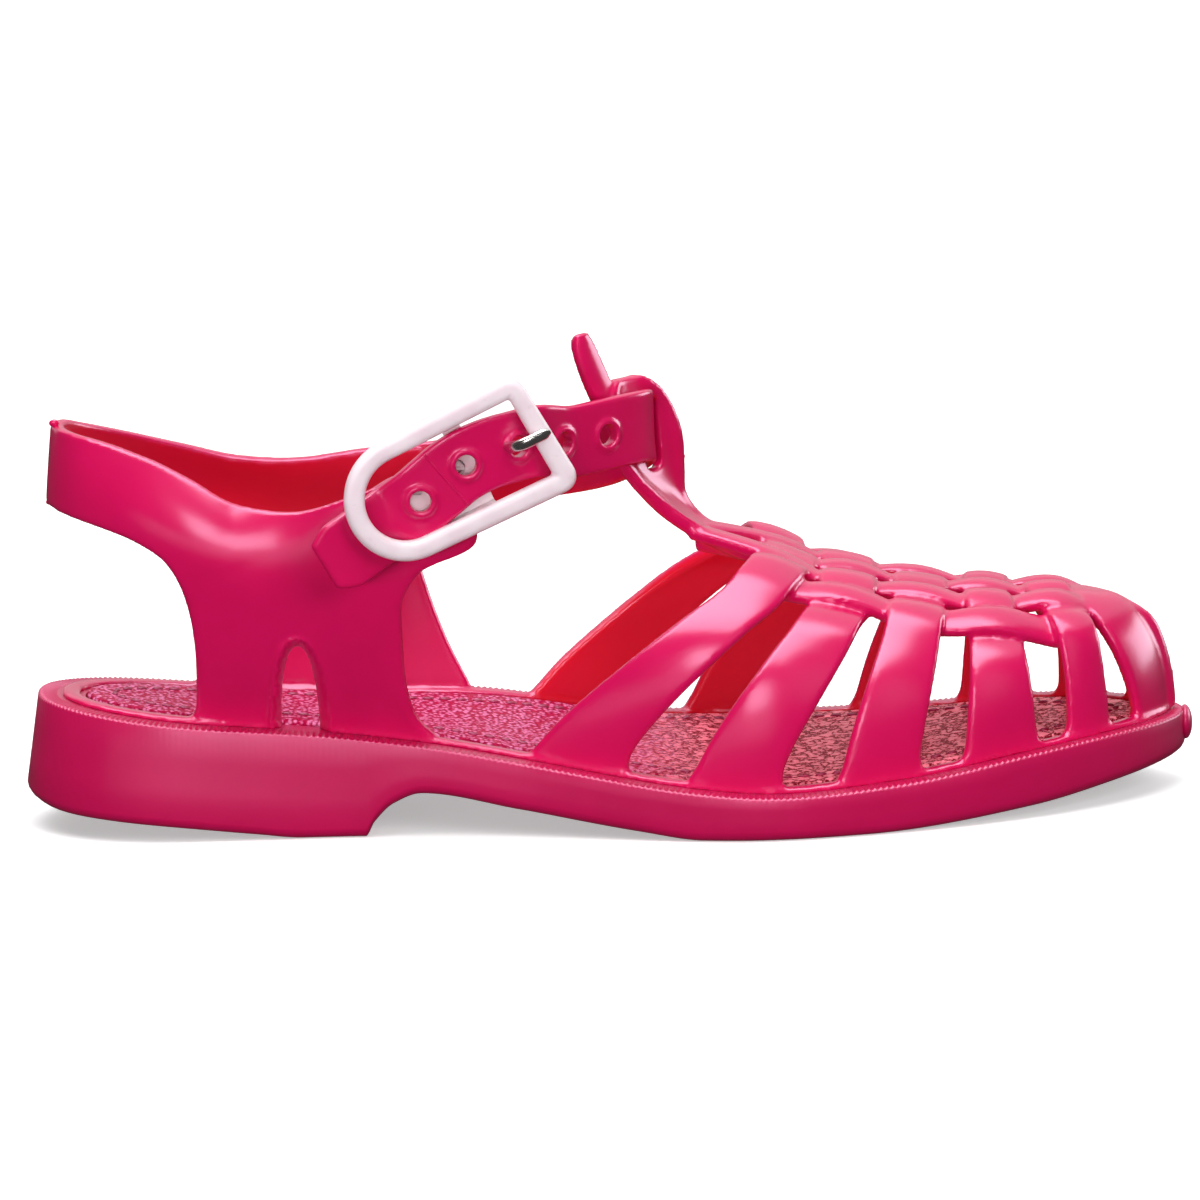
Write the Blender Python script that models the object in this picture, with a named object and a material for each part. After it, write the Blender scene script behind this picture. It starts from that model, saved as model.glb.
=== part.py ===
"""Child's moulded beach sandal, right shoe: woven vamp, T-bar, heel counter, ankle strap and buckle.

Lengths are millimetres until a mesh is made. x runs from the heel back to the toe, y from the outer
side (negative) to the inner side (positive), and z up from the floor.
"""

import math

import bmesh
import bpy
import numpy as np

MM = 0.001
GAP = 0.3

# Driving sizes of the sole
SOLE_LENGTH = 180.5
ORIGIN = np.array((0.5 * SOLE_LENGTH, 0.0, 0.0))
HEEL_ROUND = 26.0
HEEL_POWER = 2.2
BALL_X = 108.0
TOE_POWER = 1.75
EDGE_ROUND = 1.6
BED_DEPTH = 1.0
ARCH_RISE = 1.6
ARCH_X = 72.0
ARCH_REACH = 26.0
ARCH_SIDE = 20.0
TOE_ROUND_START = 150.0
BREAST_STATIONS = (43.0, 52.8, 53.5, 54.2, 55.2, 56.2, 58.2, 61.0, 105.0, 130.0)
TREAD_MARGIN = 4.5
WELT_EDGE = 0.45

# Driving sizes of the upper
WALL = 2.1
LEDGE = 4.2
TOE_LEDGE = 2.5
RIM_HEIGHT = 1.2
RIM_LIP = 0.4
SECTION_POWER = 2.8
FAN_START = 146.0
FAN_SPREAD = 100.0
RIDGE_SHIFT = 1.0
WEAVE = 0.75
WEAVE_FADE = 3.1
STRAND_PITCH = 7.5
STRAND_HALF = 2.6
STRAND_PART = 122.0
STRAND_PART_RUN = 17.0
STRAND_END = 166.0
SPREAD_REST = 4.0
SPREAD_FULL = 26.0
STRAP_CROWN = 0.45
STRAND_CROWN = 0.12
STRAND_ROWS = 19
SHOULDER = 0.85
COUNTER_ROUND = 36.0
COUNTER_POWER = 2.0
COUNTER_FLARE = 7.3
FLARE_HEIGHT = 37.0
ANKLE_START = 52.0
ANKLE_REACH = 20.0
ANKLE_NARROWING = 6.0
INSOLE_PROUD = 0.8
INSOLE_EDGE = 0.5

# Driving sizes of the ankle strap and the buckle
STRAP_HALF = 5.65
STRAP_THICK = 1.8
STRAP_TIP_HALF = 4.6
STRAP_ROWS = 56
BUCKLE_AT = np.array((67.4, -26.3, 57.1))
BUCKLE_ALONG = np.array((0.903, 0.2, 0.376))
FRAME_HALF_LENGTH = 17.6
FRAME_HALF_WIDTH = 9.6
FRAME_BAR = 3.5
FRAME_HALF_THICK = 1.3
FRAME_CORNER = 3.0
FRAME_CHAMFER = 0.5
PRONG_RADIUS = 0.65


def columns(names, rows):
    """A table as one array for each named column."""
    return dict(zip(names.split(), np.array(rows, float).T))


SOLE_WIDTH = columns("x half draft", [
    (0.0, 19.4, 2.2),
    (26.0, 20.2, 1.3),
    (43.0, 20.6, 0.9),
    (60.0, 21.8, 0.5),
    (76.0, 25.0, 0.4),
    (88.0, 28.6, 0.2),
    (98.0, 31.6, 0.1),
    (106.0, 33.7, 0.0),
    (114.0, 35.1, 0.0),
    (122.0, 35.6, 0.0),
    (180.5, 35.6, 0.0),
])
SOLE_TOP = columns("x z", [
    (0.0, 21.2), (12.0, 19.5), (27.0, 17.6), (46.0, 16.0), (63.0, 13.9), (83.0, 10.6),
    (104.5, 7.5), (117.0, 6.7), (136.0, 7.6), (156.0, 10.0), (170.0, 11.2), (180.5, 11.6),
])
SOLE_BOTTOM = columns("x z", [
    (0.0, 5.2), (5.5, 3.9), (13.5, 3.1), (22.0, 2.3), (36.0, 0.7), (43.0, 0.0), (53.2, 0.0),
    (54.2, 3.4), (56.2, 6.1), (61.0, 6.7), (76.5, 4.2), (95.0, 1.2), (105.0, 0.0), (130.0, 0.0),
    (156.0, 1.8), (168.5, 3.6), (180.5, 5.4),
])
RIDGE = columns("x z", [
    (78.0, 45.0), (100.0, 41.5), (112.0, 38.6), (117.0, 37.0), (122.0, 35.0), (131.0, 33.0),
    (140.0, 31.0), (149.0, 29.9), (158.0, 29.2), (163.0, 29.2), (167.0, 28.6),
])
# Rear and front edge of each vamp strap at its base, at its shoulder and at the crown
VAMP_STRAPS = columns(
    "over rear_base rear_shoulder rear_crown front_base front_shoulder front_crown", [
        (1, 79.6, 104.0, 115.5, 93.0, 115.0, 123.5),
        (-1, 103.8, 118.6, 125.0, 116.6, 129.0, 132.6),
        (1, 126.1, 133.0, 136.0, 137.8, 141.8, 143.6),
        (-1, 145.3, 146.9, 146.6, 156.2, 154.8, 153.0),
        (1, 161.3, 160.8, 157.5, 167.2, 166.8, 166.3),
    ])
TOE_CAP_EDGE = (171.7, 168.6, 164.5)
# Side position of each lengthwise strand at the T-bar and over the vamp, before the strands draw together
STRANDS = columns("over start y_back y", [
    (-1, 114.0, -14.6, -15.0),
    (1, 105.0, -3.4, -7.5),
    (-1, 105.0, 0.0, 0.0),
    (1, 105.0, 3.4, 7.5),
    (-1, 114.0, 14.6, 15.0),
])
# Lower and upper edge of the heel counter and quarters, from the back of the heel to the sole
COUNTER_BACK = (4.8, 51.9, 6.7, 63.0)
OUTER_QUARTER = columns("low_x low_z top_x top_z", [
    (5.3, 51.8, 7.3, 63.2), (7.0, 51.3, 9.6, 63.0), (11.3, 50.1, 17.0, 61.1), (17.5, 47.9, 25.0, 57.8),
    (22.8, 44.6, 34.0, 53.6), (25.4, 39.5, 44.0, 52.2), (26.4, 35.5, 54.0, 54.6), (27.0, 31.5, 68.6, 60.6),
    (27.1, 28.0, 72.2, 46.4), (27.0, 25.5, 62.6, 41.6), (26.9, 23.0, 59.6, 35.5), (26.6, 20.5, 59.6, 26.0),
    (26.2, 17.9, 61.8, 14.5),
])
INNER_QUARTER = columns("low_x low_z top_x top_z", [
    (5.3, 51.8, 7.3, 63.0), (7.0, 51.2, 9.6, 61.6), (11.3, 49.9, 17.0, 58.6), (17.5, 47.6, 25.0, 56.0),
    (22.8, 44.3, 34.0, 53.6), (25.4, 39.5, 44.0, 52.6), (26.4, 35.5, 54.0, 53.3), (27.0, 31.5, 64.0, 53.8),
    (27.1, 28.0, 65.5, 43.2), (27.0, 25.5, 61.6, 38.0), (26.9, 23.0, 63.2, 31.0), (26.6, 20.5, 66.0, 22.5),
    (26.2, 17.9, 69.6, 14.6),
])
QUARTER_SLOT = {"outer_x": 43.3, "inner_x": 35.0, "half": 2.9, "low": 17.9, "top": 29.0, "reach": 40.0}
# Middle of the T-bar from the vamp to the top of its slotted head
TBAR = columns("x y z half turn", [
    (121.0, 0.3, 35.6, 3.6, 0.0),
    (115.0, 0.3, 38.0, 4.0, 0.0),
    (110.0, 0.3, 40.2, 4.3, 0.0),
    (105.0, 0.2, 43.2, 4.6, 6.0),
    (101.6, 0.0, 47.2, 5.4, 20.0),
    (99.9, -0.6, 52.0, 7.0, 35.0),
    (98.9, -1.0, 57.0, 7.6, 44.0),
    (98.0, -1.2, 61.5, 7.0, 44.0),
    (97.0, -1.4, 65.0, 5.4, 44.0),
    (96.2, -1.6, 67.4, 2.6, 44.0),
])
TONGUE = columns("x y z half turn", [
    (95.0, -4.2, 61.5, 2.6, 44.0),
    (93.0, -5.6, 65.0, 2.6, 44.0),
    (91.0, -6.2, 69.0, 2.6, 44.0),
    (89.4, -6.4, 72.6, 2.4, 44.0),
    (88.4, -6.4, 75.4, 1.2, 44.0),
])
TBAR_SLOT = {"at": (99.75, -0.2, 59.2), "turn": 44.0, "half": 1.8, "half_height": 6.4, "half_depth": 6.0}
# Middle of the ankle strap from the inner quarter to the T-bar, then along the buckle and outwards from it
STRAP_INNER = columns("x y z", [
    (56.0, 22.6, 47.5), (60.0, 22.3, 47.9), (64.0, 21.9, 48.3), (70.0, 20.9, 49.1), (78.0, 18.9, 50.3),
    (86.0, 15.2, 51.8), (92.0, 10.9, 53.6), (96.3, 6.0, 56.0), (99.0, 1.6, 58.3), (99.8, -1.6, 59.8),
    (98.9, -5.0, 60.8), (95.4, -8.6, 61.6), (90.4, -12.2, 62.0), (85.6, -15.6, 62.2),
])
STRAP_OUTER = columns("along out", [
    (15.8, -3.2), (13.4, -2.75), (11.6, -2.1), (9.0, -1.4), (6.0, -1.0), (2.0, -1.0), (-2.0, -1.0),
    (-6.0, -1.0), (-8.0, -1.4), (-10.4, -2.75), (-13.0, -3.1), (-16.0, -3.2), (-19.5, -3.9), (-23.5, -5.4),
])
# Distance of the first hole from the end of the strap, and of each hole from the next
STRAP_HOLES = {"count": 5, "first": 18.2, "pitch": 8.85, "radius": 1.75, "half_depth": 2.2}
ANCHOR_PLATE = {"rear": -6.6, "front": 5.6, "half": 8.5, "low": -3.7, "high": -2.8, "lug": -1.0}
RIVETS_ALONG = {"rivet_rear": -4.5, "rivet_front": 2.4}
RIVET = {"radius": 1.3, "head": 2.3, "head_high": -7.1, "head_low": -7.7, "sides": 12}
PRONG = columns("along out", [
    (6.55, -3.1), (9.4, -3.5), (10.9, -3.4), (11.5, -2.7), (11.9, -1.6), (12.2, -0.4), (12.9, 1.2),
    (14.0, 2.15), (17.0, 2.25),
])
PRONG_PIN_HALF = 3.0

COLOURS = {
    "outsole": ((0.60, 0.012, 0.085), 0.30, 0.0),
    "insole": ((0.66, 0.05, 0.14), 0.45, 0.0),
    "upper": ((0.60, 0.012, 0.085), 0.28, 0.0),
    "buckle_frame": ((0.83, 0.72, 0.78), 0.25, 0.0),
    "buckle_prong": ((0.75, 0.74, 0.72), 0.22, 1.0),
    "rivet": ((0.75, 0.74, 0.72), 0.25, 1.0),
}


def curve(table_x, table_y, x):
    """Monotone cubic through a table, so that flat stretches stay flat."""
    step = np.diff(table_x)
    slope = np.diff(table_y) / step
    tangent = np.zeros(len(table_x))
    tangent[0], tangent[-1] = slope[0], slope[-1]
    for i in range(1, len(slope)):
        if slope[i - 1] * slope[i] > 0:
            tangent[i] = 2 * slope[i - 1] * slope[i] / (slope[i - 1] + slope[i])
    i = np.clip(np.searchsorted(table_x, x) - 1, 0, len(step) - 1)
    t = np.clip((x - table_x[i]) / step[i], 0, 1)
    start = table_y[i] * (1 + 2 * t) * (1 - t) ** 2 + tangent[i] * step[i] * t * (1 - t) ** 2
    end = table_y[i + 1] * (3 - 2 * t) * t ** 2 + tangent[i + 1] * step[i] * t ** 2 * (t - 1)
    return start + end


def round_end(reach, power):
    """Share of the full width left at this share of the way to a round end."""
    return max(0.0, 1 - min(max(reach, 0.0), 1.0) ** power) ** (1 / power)


def three_point(values, t):
    """Parabola through values at 0, one half and 1."""
    first, middle, last = values
    return first + t * (4 * middle - 3 * first - last) + 2 * t * t * (first - 2 * middle + last)


def unit(vector):
    return vector / np.linalg.norm(vector)


def spline(points, count):
    """Evenly spaced points on a smooth curve through the given ones."""
    points = np.asarray(points, float)
    padded = np.vstack([2 * points[0] - points[1], points, 2 * points[-1] - points[-2]])
    fine = []
    for a, b, c, d in zip(padded, padded[1:], padded[2:], padded[3:]):
        for t in np.linspace(0, 1, 12, endpoint=False):
            fine.append(0.5 * (2 * b + (c - a) * t + (2 * a - 5 * b + 4 * c - d) * t ** 2
                               + (3 * b - a - 3 * c + d) * t ** 3))
    fine = np.array(fine + [points[-1]])
    run = np.concatenate([[0], np.cumsum(np.linalg.norm(np.diff(fine[:, :3], axis=0), axis=1))])
    at = np.linspace(0, run[-1], count)
    return np.stack([np.interp(at, run, column) for column in fine.T], axis=1)


# Sole outline and heights


def sole_half(x):
    half = curve(SOLE_WIDTH["x"], SOLE_WIDTH["half"], x)
    half *= round_end((HEEL_ROUND - x) / HEEL_ROUND, HEEL_POWER)
    return half * round_end((x - BALL_X) / (SOLE_LENGTH - BALL_X), TOE_POWER)


def draft(x):
    return curve(SOLE_WIDTH["x"], SOLE_WIDTH["draft"], x)


def ledge(x):
    """Welt that shows outside the upper, narrower at the toe."""
    reach = min(max((x - FAN_START) / (SOLE_LENGTH - FAN_START), 0), 1)
    return LEDGE + (TOE_LEDGE - LEDGE) * reach


def sole_top(x, y):
    """Height of the welt and bed, raised under the arch on the inner side."""
    swell = max(0.0, math.cos(0.5 * math.pi * min(1.0, abs(x - ARCH_X) / ARCH_REACH))) ** 2
    return curve(SOLE_TOP["x"], SOLE_TOP["z"], x) + ARCH_RISE * swell * min(1.0, max(0.0, y / ARCH_SIDE))


def sole_bottom(x):
    return curve(SOLE_BOTTOM["x"], SOLE_BOTTOM["z"], x)


def sole_stations(ends=7, middle=6.5):
    """Stations along the sole, close together at the round ends and at the heel breast."""
    heel = HEEL_ROUND * (1 - np.cos(np.linspace(0, math.pi / 2, ends)))
    toe_reach = SOLE_LENGTH - TOE_ROUND_START
    toe = SOLE_LENGTH - toe_reach * (1 - np.sin(np.linspace(0, math.pi / 2, ends + 2)))
    between = np.arange(HEEL_ROUND + middle, TOE_ROUND_START - 0.5 * middle, middle)
    between = [x for x in between if min(abs(x - b) for b in BREAST_STATIONS) > 0.34 * middle]
    return np.array(sorted([*heel, *between, *BREAST_STATIONS, *toe]))


def ring(stations, inset):
    """Closed loop round the sole, heel to toe on the outer side and back on the inner side."""
    outer = [(x, -sole_half(x)) for x in stations]
    loop = np.array(outer + [(x, sole_half(x)) for x in stations[-2:0:-1]])
    along = np.roll(loop, -1, axis=0) - np.roll(loop, 1, axis=0)
    inward = np.stack([-along[:, 1], along[:, 0]], axis=1)
    inward /= np.linalg.norm(inward, axis=1)[:, None]
    return loop + inward * np.array([inset(x) for x in loop[:, 0]])[:, None]


def level(stations, inset, height):
    """The same loop with its heights."""
    return np.array([(x, y, height(x, y)) for x, y in ring(stations, inset)])


# Meshes


def mesh_object(name, points, faces, collection=None):
    mesh = bpy.data.meshes.new(name)
    mesh.from_pydata([tuple((p - ORIGIN) * MM) for p in np.asarray(points, float)], [], faces)
    shape = bmesh.new()
    shape.from_mesh(mesh)
    bmesh.ops.remove_doubles(shape, verts=shape.verts, dist=1e-6)
    bmesh.ops.recalc_face_normals(shape, faces=shape.faces)
    shape.to_mesh(mesh)
    shape.free()
    mesh.shade_smooth()
    mesh.set_sharp_from_angle(angle=math.radians(35))
    obj = bpy.data.objects.new(name, mesh)
    (collection or bpy.context.scene.collection).objects.link(obj)
    return obj


def paint(obj, key):
    colour, roughness, metallic = COLOURS[key]
    material = bpy.data.materials.new(obj.name)
    material.use_nodes = True
    shader = material.node_tree.nodes["Principled BSDF"]
    shader.inputs["Base Color"].default_value = (*colour, 1)
    shader.inputs["Roughness"].default_value = roughness
    shader.inputs["Metallic"].default_value = metallic
    obj.data.materials.append(material)


def helper(obj):
    obj.hide_render = True
    obj.display_type = "WIRE"
    return obj


def band_faces(count, rings, closed):
    """Quads between neighbouring loops of equal count."""
    faces = []
    for r in range(rings - 1 + closed):
        here, there = r * count, (r + 1) % rings * count
        for i in range(count):
            j = (i + 1) % count
            faces.append((here + i, here + j, there + j, there + i))
    return faces


def ladder_faces(count, start):
    """Faces across a sole loop, from its outer side to its inner side."""
    faces = []
    half = count // 2
    for i in range(half):
        corners = [i, i + 1, (count - i - 1) % count, (count - i) % count]
        faces.append([start + c for c in dict.fromkeys(corners)])
    return faces


def stacked(name, levels):
    """Solid of stacked sole loops, closed across the first and the last."""
    count = len(levels[0])
    faces = band_faces(count, len(levels), False)
    faces += ladder_faces(count, 0) + ladder_faces(count, count * (len(levels) - 1))
    return mesh_object(name, np.vstack(levels), faces)


def sheet(name, grid, collection, thick=WALL, offset=1.0):
    """Open grid of points given its wall thickness by a Solidify modifier."""
    grid = np.asarray(grid, float)
    rows, across = grid.shape[:2]
    faces = []
    for r in range(rows - 1):
        for c in range(across - 1):
            a = r * across + c
            faces.append((a, a + 1, a + across + 1, a + across))
    obj = mesh_object(name, grid.reshape(-1, 3), faces, collection)
    middle = (grid.reshape(-1, 3).mean(axis=0) - ORIGIN) * MM
    outward = sum((np.array(f.center) - middle) @ np.array(f.normal) for f in obj.data.polygons)
    if offset and outward < 0:
        obj.data.flip_normals()
    wall = obj.modifiers.new("wall", "SOLIDIFY")
    wall.thickness = thick * MM
    wall.offset = offset
    wall.use_even_offset = True
    obj.modifiers.new("triangles", "TRIANGULATE")
    return helper(obj)


def cut(obj, cutter):
    boolean = obj.modifiers.new("cut", "BOOLEAN")
    boolean.operation = "DIFFERENCE"
    boolean.object = helper(cutter)


def join(obj, other):
    boolean = obj.modifiers.new("join", "BOOLEAN")
    boolean.operation = "UNION"
    boolean.object = helper(other)


def prism(name, outline, axis, depth, collection):
    """Outline of points pushed both ways along an axis."""
    outline = np.asarray(outline, float)
    count = len(outline)
    points = np.vstack([outline - axis * depth, outline + axis * depth])
    faces = [list(range(count)), list(range(count, 2 * count))]
    faces += [(i, (i + 1) % count, (i + 1) % count + count, i + count) for i in range(count)]
    return mesh_object(name, points, faces, collection)


def tube(name, points, sides, collection=None):
    """Bar through rings of points, closed at both ends."""
    faces = band_faces(sides, len(points) // sides, False)
    faces += [list(range(sides)), list(range(len(points) - sides, len(points)))]
    return mesh_object(name, points, faces, collection)


# Sole and insole


def build_outsole():
    stations = sole_stations()
    bed_inset = lambda x: draft(x) + ledge(x) + WALL + 2 * RIM_LIP + GAP
    levels = [
        level(stations, lambda x: TREAD_MARGIN, lambda x, y: sole_bottom(x)),
        level(stations, lambda x: EDGE_ROUND, lambda x, y: sole_bottom(x)),
        level(stations, lambda x: 0.25 * EDGE_ROUND, lambda x, y: sole_bottom(x) + 0.4 * EDGE_ROUND),
        level(stations, lambda x: 0.0, lambda x, y: sole_bottom(x) + 1.3 * EDGE_ROUND),
        level(stations, draft, lambda x, y: sole_top(x, y) - WELT_EDGE),
        level(stations, lambda x: draft(x) + WELT_EDGE, sole_top),
        level(stations, bed_inset, sole_top),
        level(stations, bed_inset, lambda x, y: sole_top(x, y) - BED_DEPTH),
    ]
    paint(stacked("outsole", levels), "outsole")


def build_insole():
    stations = sole_stations(6, 9.0)
    edge = lambda x: draft(x) + ledge(x) + WALL + 2 * RIM_LIP + 2 * GAP
    levels = [
        level(stations, edge, lambda x, y: sole_top(x, y) - BED_DEPTH + GAP),
        level(stations, edge, lambda x, y: sole_top(x, y) + INSOLE_PROUD - INSOLE_EDGE),
        level(stations, lambda x: edge(x) + INSOLE_EDGE, lambda x, y: sole_top(x, y) + INSOLE_PROUD),
    ]
    paint(stacked("insole", levels), "insole")


# Upper: the surface of the last


def feather_edge():
    """Dense outer half of the line where the inside of the upper meets the sole."""
    stations = sole_stations(24, 2.0)
    return ring(stations, lambda x: draft(x) + ledge(x) + WALL)[:len(stations)]


FEATHER = feather_edge()
TOE_TIP = FEATHER[-1][0]


def feather(x, side):
    y = side * abs(np.interp(x, FEATHER[:, 0], FEATHER[:, 1]))
    return np.array((x, y, sole_top(x, y) + GAP + 0.4 * RIM_HEIGHT))


def ridge(x):
    """Point of the ridge line above a base point; round the toe the ribs fan out from it."""
    fan = max(0.0, x - FAN_START) ** 2 / FAN_SPREAD
    return np.array((x - fan, RIDGE_SHIFT, curve(RIDGE["x"], RIDGE["z"], x - fan)))


def rib(x, side, rise, lift=0.0):
    """Point of the last on the rib above base station x: rise 0 at the sole, 1 on the ridge."""
    low, high = feather(x, side), ridge(x)
    angle = 0.5 * math.pi * rise
    c = max(0.0, math.cos(angle)) ** (2 / SECTION_POWER)
    s = max(0.0, math.sin(angle)) ** (2 / SECTION_POWER)
    span = low[:2] - high[:2]
    width, height = np.linalg.norm(span), high[2] - low[2]
    point = np.array((*(high[:2] + span * c), low[2] + height * s))
    normal = np.array((*(span / width * c ** (SECTION_POWER - 1) / width), s ** (SECTION_POWER - 1) / height))
    return point + unit(normal) * lift


def rise_at(x, y):
    """Rise of the rib point that lies at this distance from the middle line."""
    side = 1 if y > RIDGE_SHIFT else -1
    share = abs(y - RIDGE_SHIFT) / abs(feather(x, side)[1] - RIDGE_SHIFT)
    return side, math.acos(min(1.0, share) ** (SECTION_POWER / 2)) / (0.5 * math.pi)


def spread(x):
    """How far apart the strands still are at this place: they draw together towards the toe."""
    return min(1.0, (abs(feather(x, -1)[1]) + SPREAD_REST) / SPREAD_FULL)


def weave(x, y):
    """Height of a strap over the strands, fading out on the sides."""
    pitch = STRAND_PITCH * spread(x)
    fade = min(1.0, max(0.0, WEAVE_FADE - abs(y) / pitch))
    return fade * math.cos(math.pi * y / pitch)


def strap_row(index):
    return {name: column[index] for name, column in VAMP_STRAPS.items()}


def strap_edges(row, rise):
    rear = three_point((row["rear_base"], row["rear_shoulder"], row["rear_crown"]), rise)
    front = three_point((row["front_base"], row["front_shoulder"], row["front_crown"]), rise)
    return rear, front


def build_vamp_strap(index, collection):
    row = strap_row(index)
    middle = 0.5 * (row["rear_shoulder"] + row["front_shoulder"])
    half = abs(feather(middle, -1)[1])
    crossings = np.arange(2.5, 0, -0.5) * STRAND_PITCH * spread(middle)
    top = [rise_at(middle, -y)[1] for y in crossings if y < SHOULDER * half]
    rises = [*np.linspace(0, top[0], 6)[:-1], *top]
    places = [(-1, r) for r in rises] + [(-1, 1.0)] + [(1, r) for r in reversed(rises)]
    grid = []
    for side, rise in places:
        rear, front = strap_edges(row, rise)
        line = []
        for share in (0.0, 0.3, 0.7, 1.0):
            x = rear + (front - rear) * share
            y = rib(x, side, rise)[1]
            crown = STRAP_CROWN * (1 - (2 * share - 1) ** 2)
            line.append(rib(x, side, rise, crown + WEAVE * row["over"] * weave(x, y)))
        grid.append(line)
    sheet(f"vamp_strap_{index + 1}", grid, collection)


def strap_middle(index, y):
    """Where a strap's middle line crosses this distance from the middle of the shoe."""
    row = strap_row(index)
    x = 0.5 * (row["rear_crown"] + row["front_crown"])
    for _ in range(3):
        x = 0.5 * sum(strap_edges(row, rise_at(x, y * spread(x))[1]))
    return ridge(x)[0]


def on_last(x, y, lift):
    """Point of the last over this place, on the rib that passes through it."""
    base = x
    for _ in range(6):
        side, rise = rise_at(base, y)
        base += x - rib(base, side, rise)[0]
    return rib(base, side, rise, lift)


def build_strand(index, collection):
    row = {name: column[index] for name, column in STRANDS.items()}
    crossings = [strap_middle(i, row["y"]) for i in range(len(VAMP_STRAPS["over"]))]
    grid = []
    for x in np.linspace(row["start"], STRAND_END, STRAND_ROWS):
        y = row["y"] * spread(x)
        y += (row["y_back"] - y) * np.clip((STRAND_PART - x) / STRAND_PART_RUN, 0, 1)
        phase = np.interp(x, crossings, range(len(crossings)))
        lift = WEAVE * row["over"] * math.cos(math.pi * phase)
        line = [on_last(x, y + STRAND_HALF * k, lift + STRAND_CROWN * (1 - k * k)) for k in (-1, 0, 1)]
        grid.append(line)
    sheet(f"strand_{index + 1}", grid, collection)


def build_toe_cap(collection):
    """Cap over the toe: ribs from the outer gap round the tip to the inner gap."""
    points, faces = [], []
    rises = np.linspace(0, 1, 8)
    shares = np.sin(np.linspace(0, 0.5 * math.pi, 6))
    across = 2 * len(shares) - 1
    for rise in rises:
        rear = three_point(TOE_CAP_EDGE, rise)
        stations = [rear + (TOE_TIP - rear) * share for share in shares]
        points += [rib(x, -1, rise) for x in stations]
        points += [rib(x, 1, rise) for x in reversed(stations[:-1])]
    for r in range(len(rises) - 1):
        for c in range(across - 1):
            a = r * across + c
            faces.append((a, a + 1, a + across + 1, a + across))
    cap = mesh_object("toe_cap", points, faces, collection)
    if cap.data.polygons[0].normal.y > 0:
        cap.data.flip_normals()
    wall = cap.modifiers.new("wall", "SOLIDIFY")
    wall.thickness = WALL * MM
    wall.offset = 1.0
    wall.use_even_offset = True
    cap.modifiers.new("triangles", "TRIANGULATE")
    helper(cap)


# Upper: heel counter and quarters


def counter_point(x, z, side):
    """Point on the outside of the counter at this place along the shoe and height."""
    base = sole_top(x, 0)
    rise = min(1.0, max(0.0, (z - base) / FLARE_HEIGHT))
    half = curve(SOLE_WIDTH["x"], SOLE_WIDTH["half"], x) - draft(x) - LEDGE
    half += COUNTER_FLARE * (1 - (1 - rise) ** 2)
    half -= ANKLE_NARROWING * rise * (max(0.0, x - ANKLE_START) / ANKLE_REACH) ** 2
    low_x, low_z, top_x, top_z = COUNTER_BACK
    back = low_x + (top_x - low_x) * min(1.2, max(0.0, (z - low_z) / (top_z - low_z)))
    x = max(x, back)
    half *= round_end((COUNTER_ROUND - x) / (COUNTER_ROUND - back), COUNTER_POWER)
    return np.array((x, side * half, z))


def build_counter(collection, cutters):
    outer_rows = [tuple(r) for r in np.stack(list(OUTER_QUARTER.values()), axis=1)]
    inner_rows = [tuple(r) for r in np.stack(list(INNER_QUARTER.values()), axis=1)]
    rows = [(-1, r) for r in reversed(outer_rows)] + [(1, COUNTER_BACK)] + [(1, r) for r in inner_rows]
    grid = []
    for side, (low_x, low_z, top_x, top_z) in rows:
        line = []
        for share in np.linspace(0, 1, 5):
            x = low_x + (top_x - low_x) * share
            z = low_z + (top_z - low_z) * share
            line.append(counter_point(x, z, side))
        grid.append(line)
    counter = sheet("counter", grid, collection, WALL, -1.0)
    slot = QUARTER_SLOT
    turns = np.linspace(0, math.pi, 7)
    half, depth = slot["half"], 0.5 * slot["reach"]
    for name, side in (("outer", -1), ("inner", 1)):
        x, y = slot[f"{name}_x"], side * depth
        arch = [(x + half * math.cos(a), y, slot["top"] - half * (1 - math.sin(a))) for a in turns]
        arch += [(x - half, y, slot["low"]), (x + half, y, slot["low"])]
        cut(counter, prism(f"{name}_quarter_slot", arch, np.array((0, 1, 0)), depth, cutters))


# Upper: T-bar and its slotted head


def ribbon_rows(table, shares):
    """Rows across a ribbon whose middle line, half width and turn come from a table."""
    grid = []
    path = np.stack([table[name] for name in ("x", "y", "z", "half", "turn")], axis=1)
    for x, y, z, half, turn in path:
        across = np.array((math.sin(math.radians(turn)), math.cos(math.radians(turn)), 0))
        grid.append([np.array((x, y, z)) + across * half * k for k in shares])
    return grid


def build_tbar(collection, cutters):
    bar = sheet("t_bar", ribbon_rows(TBAR, (-1, -0.5, 0, 0.5, 1)), collection, WALL, 0.0)
    slot = TBAR_SLOT
    turn = math.radians(slot["turn"])
    across = np.array((math.sin(turn), math.cos(turn), 0))
    facing = np.array((math.cos(turn), -math.sin(turn), 0))
    corners = [(-1, -1), (1, -1), (1, 1), (-1, 1)]
    outline = [np.array(slot["at"]) + across * slot["half"] * a + np.array((0, 0, slot["half_height"] * b))
               for a, b in corners]
    cut(bar, prism("t_bar_slot", outline, facing, slot["half_depth"], cutters))
    sheet("tongue", ribbon_rows(TONGUE, (-1, 0, 1)), collection, WALL, 0.0)


# Ankle strap and buckle


def buckle_axes():
    along = unit(BUCKLE_ALONG)
    out = unit(np.array((along[1], -along[0], 0)))
    return along, np.cross(out, along), out


def at_buckle(along, up, out):
    e_along, e_up, e_out = buckle_axes()
    return BUCKLE_AT + e_along * along + e_up * up + e_out * out


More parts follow.
